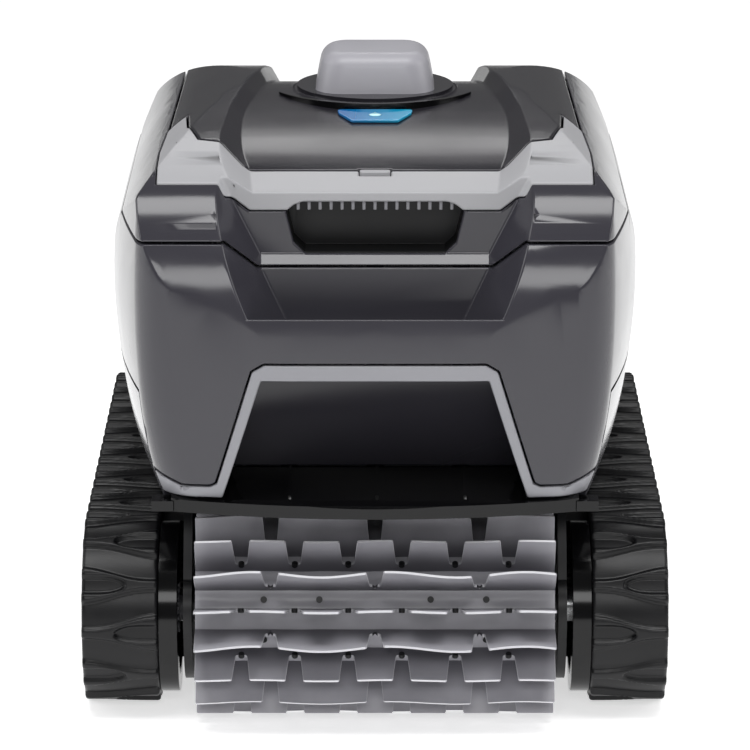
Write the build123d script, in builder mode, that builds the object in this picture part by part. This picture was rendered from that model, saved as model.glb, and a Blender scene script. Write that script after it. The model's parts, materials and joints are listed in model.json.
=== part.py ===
from build123d import *
import os
from math import acos, cos, hypot, pi, radians, sin, tan

# Robotic pool cleaner: a moulded body on two rubber tracks, with a vaned brush roller in front,
# a lift-out filter basket under a hinged lid, and a propeller pump that blows out through the lid.
# Millimetres. +Z is up, the cleaner drives towards -Y, and the origin is on the floor under its middle.

os.makedirs("parts", exist_ok=True)

# ---- driving dimensions -------------------------------------------------------------------------
WALL = 3.0
SEAM = 1.0
FIT = 0.3
RUNNING = 0.05
PARTING_Z = 228.5

TRACK_IN, TRACK_OUT = 100.0, 135.0
WHEEL_Z = 44.5
FRONT_WHEEL_Y = -115.5
LINK = 9.8
TEETH_PER_WHEEL = 24
SPAN_LINKS = 26
REAR_WHEEL_Y = FRONT_WHEEL_Y + LINK * SPAN_LINKS
ARC_LINKS = TEETH_PER_WHEEL // 2
TRACK_LINKS = 2 * (SPAN_LINKS + ARC_LINKS)
RIM_R = 36.3
BELT_IN_R, BELT_OUT_R, TREAD_R = 36.6, 41.0, 44.5
LUG_R, LUG_SLOT_R, LUG_T = 34.4, 34.1, 2.8
AXLE_R = 5.0
FRAME_IN, FRAME_OUT = 84.5, 88.5
FLANGE_IN = 91.0

GEAR_MODULE = 1.5
RING_TEETH, PINION_TEETH = 40, 14
RING_PITCH_R = GEAR_MODULE * RING_TEETH / 2
PINION_PITCH_R = GEAR_MODULE * PINION_TEETH / 2
GEAR_CENTRES = RING_PITCH_R - PINION_PITCH_R
PRESSURE_ANGLE = radians(20)

BRUSH_TURN = 15.0
BRUSH_R = 49.5
BRUSH_CORE_R = 26.0
BRUSH_HALF = 82.5
BRUSH_Y = FRONT_WHEEL_Y - GEAR_CENTRES * cos(radians(BRUSH_TURN))
BRUSH_Z = WHEEL_Z + GEAR_CENTRES * sin(radians(BRUSH_TURN))
BRUSH_JOURNAL_R = 6.0
MOTOR_Y = REAR_WHEEL_Y - GEAR_CENTRES
DRIVE_SHAFT_R = 3.0

DECK_Z, DECK_T = 103.0, 3.0
TUB_HALF = 78.0
FLOOR_Z = 15.0
PUMP_Y = 5.0
DUCT_R = 33.0
SHAFT_R = 3.0
INLET_Y = (-78.0, -50.0)

HINGE_Y, HINGE_Z = 131.0, 243.0
BASKET_TOP = 238.0

# Horizontal sections of the body: height, half width at the corners, half width amidships, front, rear.
SECTIONS = [
    (103, 94, 105, -162, 168),
    (118, 98, 115, -166, 174),
    (140, 102, 121, -169, 179),
    (170, 105, 125, -170, 181),
    (205, 106, 125, -170, 180),
    (240, 105, 122, -168, 176),
    (290, 101, 114, -164, 168),
]
CORNER_R = 20.0
# Outline of the body's upper half from the side (y, z) and from the front (x, z).
SIDE_OUTLINE = [
    (-169, 175), (-167.5, 195), (-163, 214), (-154, 232), (-142, 246.5), (-122, 256.5), (-95, 263.5),
    (-60, 268), (-25, 272.2), (10, 274), (40, 271.5), (75, 264), (110, 251.5), (140, 236), (163, 215), (177, 185),
]
FRONT_OUTLINE = [
    (126.5, 150), (125.5, 190), (121.5, 216), (114, 236), (104, 251), (91, 262.5), (74, 270.5), (52, 275.5), (0, 278),
]
# Floor of the sunk middle (y, z), and its half widths: y, at the ridge, at the floor, height of the floor.
VALLEY_FLOOR = [
    (-106, 251.0), (-85, 257.4), (-48, 264.0), (-15, 267), (12, 267.3), (45, 263), (80, 254.5),
    (110, 244), (131, 234), (150, 222),
]
VALLEY_WALLS = [
    (-136, 73, 58.5, 247), (-95, 73.6, 62, 256), (-48, 71, 60, 262.5), (-15, 64.5, 56, 266),
    (20, 57, 52, 266.7), (70, 52, 47, 257.5), (150, 44, 39, 222),
]
BAND_Y, BAND_Z = -131.0, 246.0
SLOT_Z = (217.5, 241.5)
SLOT_HALF = 37.0
NOTCH_Z = 213.0
LIP_Y, LIP_Z = -168.0, 196.0
BACK_Y = -136.0

# Plan outlines, right-hand half (x, y), of the lid and of the carrying handle in front of it.
LID_PLAN = [
    (0, -106), (60, -106), (70, -98), (81, -95), (86.5, -75), (87.9, -44.4), (96.3, -49.3), (95, 20), (93, 128), (0, 128),
]
HANDLE_PLAN = [
    (0, -107), (60, -107), (70, -99), (81.5, -96), (87.5, -75), (89, -46), (97.5, -51), (99.5, -90), (99, -135), (0, -135),
]
# Lower edge of the handle seen from the front, right-hand half (x, z).
HANDLE_EDGE = [(0, 237.5), (57, 237.5), (64, 243), (72, 246.5), (101, 248.5), (101, 300), (0, 300)]
# The open arch at the lower front, right-hand half (x, z), and the frame around it.
ARCH = [(51.5, 167), (69.7, 109.3)]
ARCH_FRAME = [(0, 174.3), (50, 174.3), (55.5, 171), (72, 117), (75, 115.5), (88, 115.5), (103, 121), (103, 109.3), (0, 109.3)]


def save(part, label):
    """Names a finished piece and writes it to its own file."""
    part.label = label
    export_step(part, f"parts/{label}.step")


def box(x, y, z):
    """A block between two limits along each axis."""
    with BuildPart() as block:
        with Locations(((x[0] + x[1]) / 2, (y[0] + y[1]) / 2, (z[0] + z[1]) / 2)):
            Box(x[1] - x[0], y[1] - y[0], z[1] - z[0])
    return block.part


def across(x, y, z, radius):
    """A cylinder lying along X between two limits, centred on (y, z)."""
    with BuildPart() as rod:
        with BuildSketch(Plane.YZ.offset(x[0])):
            with Locations((y, z)):
                Circle(radius)
        extrude(amount=x[1] - x[0])
    return rod.part


def upright(x, y, z, radius):
    """A cylinder standing along Z between two limits, centred on (x, y)."""
    with BuildPart() as post:
        with BuildSketch(Plane.XY.offset(z[0])):
            with Locations((x, y)):
                Circle(radius)
        extrude(amount=z[1] - z[0])
    return post.part


def fused(*parts):
    """One part made of several that touch or overlap."""
    with BuildPart() as whole:
        for part in parts:
            add(part)
    return whole.part


def cut(part, *tools):
    """A part with others taken out of it."""
    with BuildPart() as rest:
        add(part)
        for tool in tools:
            add(tool, mode=Mode.SUBTRACT)
    return rest.part


def common(part, *others):
    """What a part shares with every one of the others."""
    with BuildPart() as shared:
        add(part)
        for other in others:
            add(other, mode=Mode.INTERSECT)
    return shared.part


def mirrored(part):
    """The same part on the other side of the cleaner."""
    with BuildPart() as copy:
        add(mirror(part, about=Plane.YZ))
    return copy.part


# ---- body form ----------------------------------------------------------------------------------

def inward(points, distance):
    """An open outline moved to its right-hand side by a distance."""
    moved = []
    for i, (u, v) in enumerate(points):
        before, after = points[max(i - 1, 0)], points[min(i + 1, len(points) - 1)]
        du, dv = after[0] - before[0], after[1] - before[1]
        length = hypot(du, dv)
        moved.append((u + dv / length * distance, v - du / length * distance))
    return moved


def under_outline(plane, points, reach):
    """Everything under a smooth outline drawn in a plane, to both sides of that plane."""
    with BuildPart() as solid:
        with BuildSketch(plane):
            with BuildLine():
                curve = Spline(*points)
                Polyline(curve @ 1, (points[-1][0], 60), (points[0][0], 60), curve @ 0)
            make_face()
        extrude(amount=reach, both=True)
    return solid.part


def body_solid(inset):
    """The closed outer form of the body, inset by a wall thickness, with its sunk middle."""
    with BuildPart() as form:
        for height, corner, middle, front, rear in SECTIONS:
            x, a, f, r = corner - inset, middle - inset, front + inset, rear - inset
            with BuildSketch(Plane.XY.offset(height)) as section:
                with BuildLine():
                    ThreePointArc((-x, f + 7), (0, f), (x, f + 7))
                    ThreePointArc((x, f + 7), (a, 0), (x, r - 12))
                    ThreePointArc((x, r - 12), (0, r), (-x, r - 12))
                    ThreePointArc((-x, r - 12), (-a, 0), (-x, f + 7))
                make_face()
                fillet(section.vertices(), CORNER_R - inset)
        loft()
        add(under_outline(Plane.YZ, inward(SIDE_OUTLINE, inset), 200), mode=Mode.INTERSECT)
        half = inward(FRONT_OUTLINE, -inset)
        half[-1] = (0, FRONT_OUTLINE[-1][1] - inset)
        whole = half + [(-x, z) for x, z in reversed(half[:-1])]
        add(under_outline(Plane.XZ, whole, 300), mode=Mode.INTERSECT)
        add(sunk_top(inset), mode=Mode.SUBTRACT)
        add(front_pocket(inset), mode=Mode.SUBTRACT)
    return form.part


def sunk_top(inset):
    """What is cut from the top between the shoulders, from the handle back to the rear."""
    floor = [(y, z - inset) for y, z in VALLEY_FLOOR]
    front = BAND_Y - 0.1 + inset
    with BuildPart() as top:
        for y, ridge, low, z in VALLEY_WALLS:
            slope = (ridge - low) / 9
            lower, upper = low + inset - slope * 30, low + inset + slope * 60
            with BuildSketch(Plane.XZ.offset(-y)):
                Polygon((-lower, z - 30), (lower, z - 30), (upper, z + 60), (-upper, z + 60), align=None)
        loft(ruled=True)
        with BuildSketch(Plane.YZ):
            with BuildLine():
                Polyline((front, 330), (front, BAND_Z - inset), floor[0])
                curve = Spline(*floor)
                Polyline(curve @ 1, (floor[-1][0], 330), (front, 330))
            make_face()
        extrude(amount=100, both=True, mode=Mode.INTERSECT)
    return top.part


def pocket_half(y, z):
    """Half width of the front pocket at a depth and a height."""
    return 68.6 - 0.452 * (y + 155) + 0.50 * (z - PARTING_Z)


def front_pocket(inset):
    """What is cut from the front: the wide pocket under the handle, behind its rounded lip."""
    with BuildPart() as pocket:
        for y in (-185.0, BAND_Y + inset):
            low, high = pocket_half(y, 175) + inset, pocket_half(y, 262) + inset
            with BuildSketch(Plane.XZ.offset(-y)):
                Polygon((-low, 175), (low, 175), (high, 262), (-high, 262), align=None)
        loft(ruled=True)
        with BuildSketch(Plane.YZ):
            Polygon(
                (-190, LIP_Z - inset), (LIP_Y, LIP_Z - inset), (LIP_Y + 6, LIP_Z - 3 - inset),
                (BACK_Y - 2 + inset, 184 - inset), (BACK_Y + inset, NOTCH_Z), (BAND_Y + inset, SLOT_Z[0] + inset / 2),
                (BAND_Y + inset, 262), (-190, 262), align=None,
            )
        extrude(amount=120, both=True, mode=Mode.INTERSECT)
    return pocket.part


def grown(points, distance):
    """A closed outline moved outwards by a distance, with sharp corners."""
    area = sum(a[0] * b[1] - b[0] * a[1] for a, b in zip(points, points[1:] + points[:1]))
    sign = 1 if area > 0 else -1
    moved = []
    for i, corner in enumerate(points):
        sides = [(points[i - 1], corner), (corner, points[(i + 1) % len(points)])]
        (nx, ny), (mx, my) = [
            (sign * (b[1] - a[1]) / hypot(b[0] - a[0], b[1] - a[1]), sign * (a[0] - b[0]) / hypot(b[0] - a[0], b[1] - a[1]))
            for a, b in sides
        ]
        reach = distance / (1 + nx * mx + ny * my)
        moved.append((corner[0] + (nx + mx) * reach, corner[1] + (ny + my) * reach))
    return moved


def half_outline(points, grow):
    """A face drawn from its right-hand half and mirrored, made larger all round by a distance."""
    whole = points + [(-x, v) for x, v in reversed(points) if x > 0]
    Polygon(*grown(whole, grow), align=None)


def front_prism(points, y, grow=0.0):
    """A prism along Y whose right-hand outline seen from the front is the points."""
    with BuildPart() as prism:
        with BuildSketch(Plane.XZ.offset(-y[0])):
            half_outline(points, grow)
        extrude(amount=y[0] - y[1])
    return prism.part


def plan_prism(points, z, grow=0.0):
    """A prism along Z whose right-hand outline seen from above is the points."""
    with BuildPart() as prism:
        with BuildSketch(Plane.XY.offset(z[0])):
            half_outline(points, grow)
        extrude(amount=z[1] - z[0])
    return prism.part


outer = body_solid(0)
inner = body_solid(WALL)
skin = cut(outer, inner)

# Everything above the parting line, which drops into the front pocket.
notch = [(0, NOTCH_Z), (53, NOTCH_Z), (68, PARTING_Z), (68, 260), (0, 260)]
above_parting = fused(box((-150, 150), (-200, 200), (PARTING_Z, 330)), front_prism(notch, (-200, -120)))
above_seam = fused(
    box((-150, 150), (-200, 200), (PARTING_Z - SEAM, 330)), front_prism(notch, (-200, -120), grow=SEAM)
)
lid_prism = plan_prism(LID_PLAN, (PARTING_Z, 330))
lid_gap = plan_prism(LID_PLAN, (PARTING_Z, 330), grow=SEAM)
handle_prism = common(plan_prism(HANDLE_PLAN, (PARTING_Z, 330)), front_prism(HANDLE_EDGE, (-200, 0)))
handle_gap = common(
    plan_prism(HANDLE_PLAN, (PARTING_Z, 330), grow=0.4), front_prism(HANDLE_EDGE, (-200, 0), grow=0.4)
)
slot_outline = [
    (0, SLOT_Z[0]), (SLOT_HALF - 5, SLOT_Z[0]), (SLOT_HALF, SLOT_Z[0] + 5), (SLOT_HALF + 3.5, 237.0),
    (SLOT_HALF, SLOT_Z[1] - 1.5), (SLOT_HALF - 4, SLOT_Z[1]), (0, SLOT_Z[1]),
]
grip_slot = front_prism(slot_outline, (-145, -120))

# Screw bosses that join the two casings, on webs from the side walls.
boss_spots = [(104, -88), (104, 104)]


def bosses(z):
    """Bosses and webs between two heights, on both sides, trimmed to the inside of the wall."""
    pieces = []
    for x, y in boss_spots:
        for side in (-1, 1):
            web = box((min(side * x, side * 130), max(side * x, side * 130)), (y - 1.25, y + 1.25), z)
            pieces += [upright(side * x, y, z, 5), web]
    return common(fused(*pieces), common(outer, box((-150, 150), (-200, 200), z)))


boss_holes = [upright(side * x, y, (190, 236), 1.6) for x, y in boss_spots for side in (-1, 1)]

print("casings")
lower_zone = box((-150, 150), (-200, 200), (100, PARTING_Z + 1))
skirt_zone = [box((88, 150), (-146, 148), (90, 156)), box((-150, -88), (-146, 148), (90, 156))]
skirt_gap = [box((88, 150), (-146 - SEAM, 148 + SEAM), (90, 156 + SEAM)), box((-150, -88), (-147, 149), (90, 157))]
arch_open = [(0, ARCH[0][1]), ARCH[0], ARCH[1], (0, ARCH[1][1])]
frame_prism = front_prism(ARCH_FRAME, (-200, -147.5))
frame_gap = front_prism(ARCH_FRAME, (-200, -147.5), grow=SEAM * 0.8)
below_frame = box((-150, 150), (-200, -128), (90, 110))

# ---- cable gland in the rear wall ---------------------------------------------------------------
GLAND_Z, GLAND_Y = 208.0, 173.0
CABLE_R = 4.0


def along_y(x, y, z, radius):
    """A cylinder lying along Y between two limits, centred on (x, z)."""
    with BuildPart() as rod:
        with BuildSketch(Plane.XZ.offset(-y[0])):
            with Locations((x, z)):
                Circle(radius)
        extrude(amount=y[0] - y[1])
    return rod.part


def hexagon_along_y(y, z, radius):
    """A six-sided nut lying along Y between two limits."""
    with BuildPart() as nut:
        with BuildSketch(Plane.XZ.offset(-y[0])):
            with Locations((0, z)):
                RegularPolygon(radius, 6)
        extrude(amount=y[0] - y[1])
    return nut.part


gland_hole = along_y(0, (140, 190), GLAND_Z, 8.1)
gland_boss = along_y(0, (GLAND_Y - 19, GLAND_Y), GLAND_Z, 13.5)
gland_body = fused(
    hexagon_along_y((GLAND_Y, GLAND_Y + 3), GLAND_Z, 13),
    along_y(0, (GLAND_Y + 3, GLAND_Y + 6.5), GLAND_Z, 10.5),
    along_y(0, (GLAND_Y + 6.5, GLAND_Y + 10), GLAND_Z, 8.8),
    along_y(0, (GLAND_Y - 27, GLAND_Y), GLAND_Z, 8.0),
)
save(cut(gland_body, along_y(0, (140, 190), GLAND_Z, CABLE_R)), "cable_gland")
save(cut(hexagon_along_y((GLAND_Y - 23, GLAND_Y - 19), GLAND_Z, 12.5), gland_hole), "gland_nut")

# ---- outer casings ------------------------------------------------------------------------------
feet = [box((x, x + 16), (150, 172), (DECK_Z + DECK_T, 118)) for x in (-86, 70)]
lower_zone = box((-150, 150), (-200, 200), (100, PARTING_Z + 1))
lower_casing = cut(
    common(fused(cut(fused(skin, common(fused(*feet), outer)), *skirt_gap), bosses((203, PARTING_Z - SEAM))), lower_zone),
    above_seam, frame_gap, below_frame, *boss_holes,
)
save(cut(fused(lower_casing, gland_boss), gland_hole), "lower_casing")
print("lower_casing")

arch_frame = cut(common(skin, frame_prism), front_prism(arch_open, (-200, -100)), below_frame)
save(arch_frame, "arch_frame")

for side, label in ((1, "right_side_skirt"), (-1, "left_side_skirt")):
    foot = common(box((min(side * 86, side * 130), max(side * 86, side * 130)), (-70, -50), (106, 112)), outer)
    heel = common(box((min(side * 86, side * 130), max(side * 86, side * 130)), (80, 100), (106, 112)), outer)
    save(common(fused(skin, foot, heel), skirt_zone[0 if side > 0 else 1]), label)

upper_zone = common(fused(skin, bosses((PARTING_Z, 241))), above_parting)
upper_casing = cut(upper_zone, lid_gap, handle_gap, grip_slot)

# Lugs that hold the lid's hinge pin, standing on the rear end of the sunk middle.
PIN_R = 2.0
BARREL_R = 4.5
lugs = []
for side in (-1, 1):
    x = (min(side * 24, side * 37), max(side * 24, side * 37))
    lugs += [across(x, HINGE_Y, HINGE_Z, BARREL_R), box(x, (HINGE_Y, HINGE_Y + 9), (230, HINGE_Z))]
pin_hole = across((-60, 60), HINGE_Y, HINGE_Z, PIN_R)
upper_casing = cut(fused(upper_casing, cut(fused(*lugs), inner)), pin_hole)
save(upper_casing, "upper_casing")
print("upper_casing")

BUTTON_Y = (-112.0, -106.6)
BUTTON_HALF = 7.0
button_well = box((-BUTTON_HALF - FIT, BUTTON_HALF + FIT), (BUTTON_Y[0] - FIT, BUTTON_Y[1] + 3), (240, 262))
carry_handle = cut(common(skin, handle_prism), grip_slot, button_well)
save(carry_handle, "carry_handle")

# ---- grip pocket behind the slot in the handle --------------------------------------------------
POCKET_WALL = 2.0
FIN_PITCH = 5.0
POCKET_Y = (BAND_Y + WALL, -110.0)
pocket_block = box((-SLOT_HALF - 5.5, SLOT_HALF + 5.5), POCKET_Y, (SLOT_Z[0] - POCKET_WALL, SLOT_Z[1] + 1.3))
pocket_room = front_prism(slot_outline, (BAND_Y, POCKET_Y[1] - POCKET_WALL))
with BuildPart() as grip_pocket:
    add(pocket_block)
    add(pocket_room, mode=Mode.SUBTRACT)
    with Locations(*[(FIN_PITCH * i, -119, SLOT_Z[1] - 2.0) for i in range(-7, 8)]):
        Box(1.2, 15.0, 5.0)
    with Locations((0, POCKET_Y[1] + 1.4, 230)):
        Box(14, 2.8, 4)
save(grip_pocket.part, "grip_pocket")
print("grip_pocket")

# ---- lid, with its seal, outlet hood, grille, trim and badge ------------------------------------
OUTLET_R = 30.0
COLLAR_R = 38.0
PAD_TOP = 268.0
collar = cut(upright(0, PUMP_Y, (254, 265), COLLAR_R), upright(0, PUMP_Y, (250, 270), COLLAR_R - 2.5))
pad = upright(0, PUMP_Y, (264, PAD_TOP), 39.5)
barrels = []
for side in (-1, 1):
    x = (min(side * 4, side * 23.5), max(side * 4, side * 23.5))
    barrels += [
        across(x, HINGE_Y, HINGE_Z, BARREL_R), box(x, (117, 127.5), (232.5, HINGE_Z)), box(x, (127, HINGE_Y), (237.5, HINGE_Z)),
    ]
barrels = cut(fused(*barrels), across((-60, 60), HINGE_Y, HINGE_Z, PIN_R + RUNNING))
lid_catch = box((-5, 5), (-103, -100.5), (240, 250.5))
lid_shell = common(skin, lid_prism)
button_notch = box((-BUTTON_HALF - FIT, BUTTON_HALF + FIT), (-108, -105.2), (240, 262))
outlet_hole = upright(0, PUMP_Y, (240, 280), OUTLET_R)
lid = fused(cut(fused(cut(lid_shell, button_notch), pad, collar, lid_catch), outlet_hole), barrels)
save(lid, "lid")
print("lid")
save(cut(upright(0, PUMP_Y, (252.3, 254), COLLAR_R), upright(0, PUMP_Y, (250, 256), DUCT_R + 0.2)), "lid_seal")
save(across((-37, 37), HINGE_Y, HINGE_Z, PIN_R), "hinge_pin")


HOOD_SECTIONS = [(PAD_TOP, 57, 52), (276, 54.5, 50), (288, 49, 44)]
HOOD_ROUND = 8.5


def hood_solid(inset):
    """The hood over the outlet, from three rounded sections under a domed top."""
    with BuildPart() as hood:
        for z, width, depth in HOOD_SECTIONS:
            with BuildSketch(Plane.XY.offset(z - (inset if z > 280 else 0))):
                with Locations((0, PUMP_Y)):
                    RectangleRounded(width - 2 * inset, depth - 2 * inset, 13 - inset)
        loft()
        fillet(hood.faces().sort_by(Axis.Z)[-1].edges(), HOOD_ROUND - inset)
    return hood.part


hood_port = box((-17, 17), (PUMP_Y + 15, PUMP_Y + 40), (PAD_TOP + 2, 281))
hood_base = cut(upright(0, PUMP_Y, (PAD_TOP, PAD_TOP + 1.6), 37.5), upright(0, PUMP_Y, (PAD_TOP, 280), 26))
outlet_hood = cut(fused(hood_base, cut(hood_solid(0), hood_solid(2.4))), hood_port)
save(outlet_hood, "outlet_hood")
with BuildPart() as outlet_grille:
    add(common(box((-17, 17), (PUMP_Y + 15, PUMP_Y + 40), (PAD_TOP + 2, 281)), cut(hood_solid(0.5), hood_solid(2.3))))
    with Locations(*[(0, PUMP_Y + 25, 272.2 + 3.2 * i) for i in range(3)]):
        Box(31, 30, 1.8, mode=Mode.SUBTRACT)
save(outlet_grille.part, "outlet_grille")

with BuildPart() as lid_crescent:
    with BuildSketch(Plane.XY.offset(262)) as crescent:
        with BuildLine():
            ThreePointArc((-46, -10), (0, -39.5), (46, -10))
            ThreePointArc((46, -10), (0, -35.7), (-46, -10))
        make_face()
        with Locations((0, PUMP_Y)):
            Circle(40, mode=Mode.SUBTRACT)
    extrude(amount=6.6)
save(cut(lid_crescent.part, cut(outer, box((-70, 70), (-60, 0), (100, 262))), lid), "lid_crescent")
print("hood")
BADGE_Y, BADGE_Z, BADGE_TILT = -48.8, 264.0, 6.0
with BuildPart() as badge:
    with BuildSketch(Plane((0, BADGE_Y, BADGE_Z - 0.2), x_dir=(1, 0, 0), z_dir=(0, -sin(radians(BADGE_TILT)), cos(radians(BADGE_TILT))))) as lens:
        Polygon((-18, 8.5), (-17.2, 3), (-11, -8.5), (11, -8.5), (17.2, 3), (18, 8.5), align=None)
        fillet(lens.vertices(), 1.8)
    extrude(amount=1.6)
save(cut(badge.part, lid, lid_crescent.part), "badge")

# ---- lid release button and its spring ----------------------------------------------------------
with BuildPart() as lid_button:
    add(box((-BUTTON_HALF, BUTTON_HALF), (BUTTON_Y[0], BUTTON_Y[1]), (246, 251.3)))
    fillet(lid_button.edges().filter_by(Axis.Z), 1.2)
    add(box((-3, 3), (-109.6, BUTTON_Y[1]), (237, 246.5)))
save(lid_button.part, "lid_button")
save(cut(upright(0, -108.0, (232, 237), 1.3), upright(0, -108.0, (232, 237), 0.8)), "latch_spring")

# ---- chassis under the body ---------------------------------------------------------------------
print("chassis")
BRUSH_CLEAR_R = 52.0
SHELL_T = 3.0
deck = common(body_solid(WALL + 0.15), box((-150, 150), (-124, 200), (DECK_Z, DECK_Z + DECK_T)))
tub_y = (-88.0, 165.0)
tub = box((-TUB_HALF, TUB_HALF), tub_y, (FLOOR_Z, DECK_Z))
tub_room = cut(
    box((-TUB_HALF + SHELL_T, TUB_HALF - SHELL_T), (tub_y[0] + SHELL_T, tub_y[1] - SHELL_T), (0, DECK_Z)),
    across((-90, 90), BRUSH_Y, BRUSH_Z, BRUSH_CLEAR_R + SHELL_T),
)
INLET_HALF = 58.0
duct = box((-INLET_HALF - 2, INLET_HALF + 2), (INLET_Y[0] - 2, INLET_Y[1] + 2), (FLOOR_Z, DECK_Z + DECK_T))
duct_room = box((-INLET_HALF, INLET_HALF), INLET_Y, (0, 120))
SEAL_R = 8.0
chassis = cut(
    fused(deck, cut(tub, tub_room), duct),
    across((-TUB_HALF - 5, TUB_HALF + 5), BRUSH_Y, BRUSH_Z, BRUSH_CLEAR_R),
    duct_room,
    upright(0, PUMP_Y, (90, 110), SEAL_R),
    across((-90, 90), MOTOR_Y, WHEEL_Z, DRIVE_SHAFT_R + 1.0),
)
frame_bosses = [(-40.0, 30.0), (-40.0, 84.0), (60.0, 30.0), (60.0, 84.0)]
SCREW_R = 1.5
chassis = cut(chassis, *[across((-90, 90), y, z, SCREW_R) for y, z in frame_bosses])
save(chassis, "chassis")

underside = cut(
    box((-TUB_HALF, TUB_HALF), (INLET_Y[0] - 2, tub_y[1]), (FLOOR_Z - 3, FLOOR_Z)), duct_room,
    *[box((-50, 50), (y, y + 4), (FLOOR_Z - 4, FLOOR_Z - 2)) for y in (-40, 145, 152)],
)
save(underside, "underside_plate")

# Pump seal in the deck, and the duct that stands on it around the propeller.
save(
    cut(upright(0, PUMP_Y, (DECK_Z, DECK_Z + DECK_T), SEAL_R), upright(0, PUMP_Y, (90, 110), SHAFT_R + RUNNING)),
    "pump_seal",
)
DUCT_TOP = 252.0
with BuildPart() as pump_duct:
    add(upright(0, PUMP_Y, (DECK_Z + DECK_T, DECK_Z + DECK_T + 4), 40))
    add(upright(0, PUMP_Y, (DECK_Z + DECK_T, DUCT_TOP), DUCT_R + 2.5))
    add(upright(0, PUMP_Y, (90, 260), DUCT_R), mode=Mode.SUBTRACT)
    with Locations((0, PUMP_Y, 148)):
        with PolarLocations(0, 3, 30):
            Box(100, 24, 62, mode=Mode.SUBTRACT)
    with Locations((0, PUMP_Y, 190)):
        with PolarLocations(DUCT_R / 2 + 3, 5):
            Box(DUCT_R - 4, 2, 10)
    add(upright(0, PUMP_Y, (184, 197), 7))
    add(upright(0, PUMP_Y, (180, 200), SHAFT_R + RUNNING), mode=Mode.SUBTRACT)
save(pump_duct.part, "pump_duct")

# Propeller: a hub with twisted blades, and the shaft that drives it from the motor.
IMPELLER_Z = (205.0, 227.0)
with BuildPart() as impeller:
    add(upright(0, PUMP_Y, (IMPELLER_Z[0], IMPELLER_Z[1]), 8))
    fillet(impeller.edges().group_by(Axis.Z)[-1], 4)
    with PolarLocations(0, 4):
        with BuildSketch(Plane((0, PUMP_Y, 216), x_dir=(0, 1, 0.9), z_dir=(1, 0, 0)).offset(6)):
            Rectangle(19, 1.8)
        with BuildSketch(Plane((0, PUMP_Y, 216), x_dir=(0, 1, 0.35), z_dir=(1, 0, 0)).offset(31)):
            Rectangle(23, 1.2)
        loft()
    add(upright(0, PUMP_Y, (180, 230), SHAFT_R), mode=Mode.SUBTRACT)
save(impeller.part, "impeller")
save(upright(0, PUMP_Y, (30, 220), SHAFT_R), "pump_shaft")

# ---- sealed motor block -------------------------------------------------------------------------
print("motors")
HOUSING_HALF = 73.0
HOUSING_Y = (-28.0, 141.0)
HOUSING_TOP = 86.0
housing = box((-HOUSING_HALF, HOUSING_HALF), HOUSING_Y, (FLOOR_Z, HOUSING_TOP))
housing_room = box((-HOUSING_HALF + 3, HOUSING_HALF - 3), (HOUSING_Y[0] + 3, HOUSING_Y[1] - 3), (FLOOR_Z + 3, 100))
shaft_bore = across((-90, 90), MOTOR_Y, WHEEL_Z, DRIVE_SHAFT_R + RUNNING)
save(cut(housing, housing_room, shaft_bore), "motor_housing")
rim = cut(
    box((-HOUSING_HALF, HOUSING_HALF), HOUSING_Y, (HOUSING_TOP, HOUSING_TOP + 1.5)),
    box((-HOUSING_HALF + 3, HOUSING_HALF - 3), (HOUSING_Y[0] + 3, HOUSING_Y[1] - 3), (80, 100)),
)
save(rim, "housing_seal")
lid_z = (HOUSING_TOP + 1.5, HOUSING_TOP + 4.5)
cover_posts = [upright(x, y, (lid_z[0], DECK_Z), 5) for x in (-62, 62) for y in (-18, 131)]
cover = cut(
    fused(box((-HOUSING_HALF, HOUSING_HALF), HOUSING_Y, lid_z), *cover_posts),
    upright(0, PUMP_Y, (60, 120), SHAFT_R + RUNNING),
)
save(cover, "motor_cover")
with BuildPart() as pump_motor:
    add(upright(0, PUMP_Y, (FLOOR_Z + 3, 80), 24))
    fillet(pump_motor.edges().group_by(Axis.Z)[-1], 3)
    add(upright(0, PUMP_Y, (79, lid_z[0]), 9))
    add(upright(0, PUMP_Y, (29, 100), SHAFT_R + RUNNING), mode=Mode.SUBTRACT)
save(pump_motor.part, "pump_motor")
for side, label in ((1, "right_drive_motor"), (-1, "left_drive_motor")):
    can = across((min(side * 18, side * 58), max(side * 18, side * 58)), MOTOR_Y, WHEEL_Z, 16)
    nose = across((min(side * 58, side * 70), max(side * 58, side * 70)), MOTOR_Y, WHEEL_Z, 11)
    cradle = box(
        (min(side * 24, side * 54), max(side * 24, side * 54)), (MOTOR_Y - 10, MOTOR_Y + 10), (FLOOR_Z + 3, WHEEL_Z - 10)
    )
    save(cut(fused(can, nose, cradle), shaft_bore), label)
board = fused(
    box((-60, 60), (40, 90), (66, 68)),
    *[upright(x, y, (FLOOR_Z + 3, 66), 2.5) for x in (-55, 55) for y in (45, 85)],
    *[box((x, x + 14), (52, 66), (68, 76)) for x in (-40, -10, 20)],
)
save(board, "control_board")

# ---- side frames, axles and track guides --------------------------------------------------------
print("drive")


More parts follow.
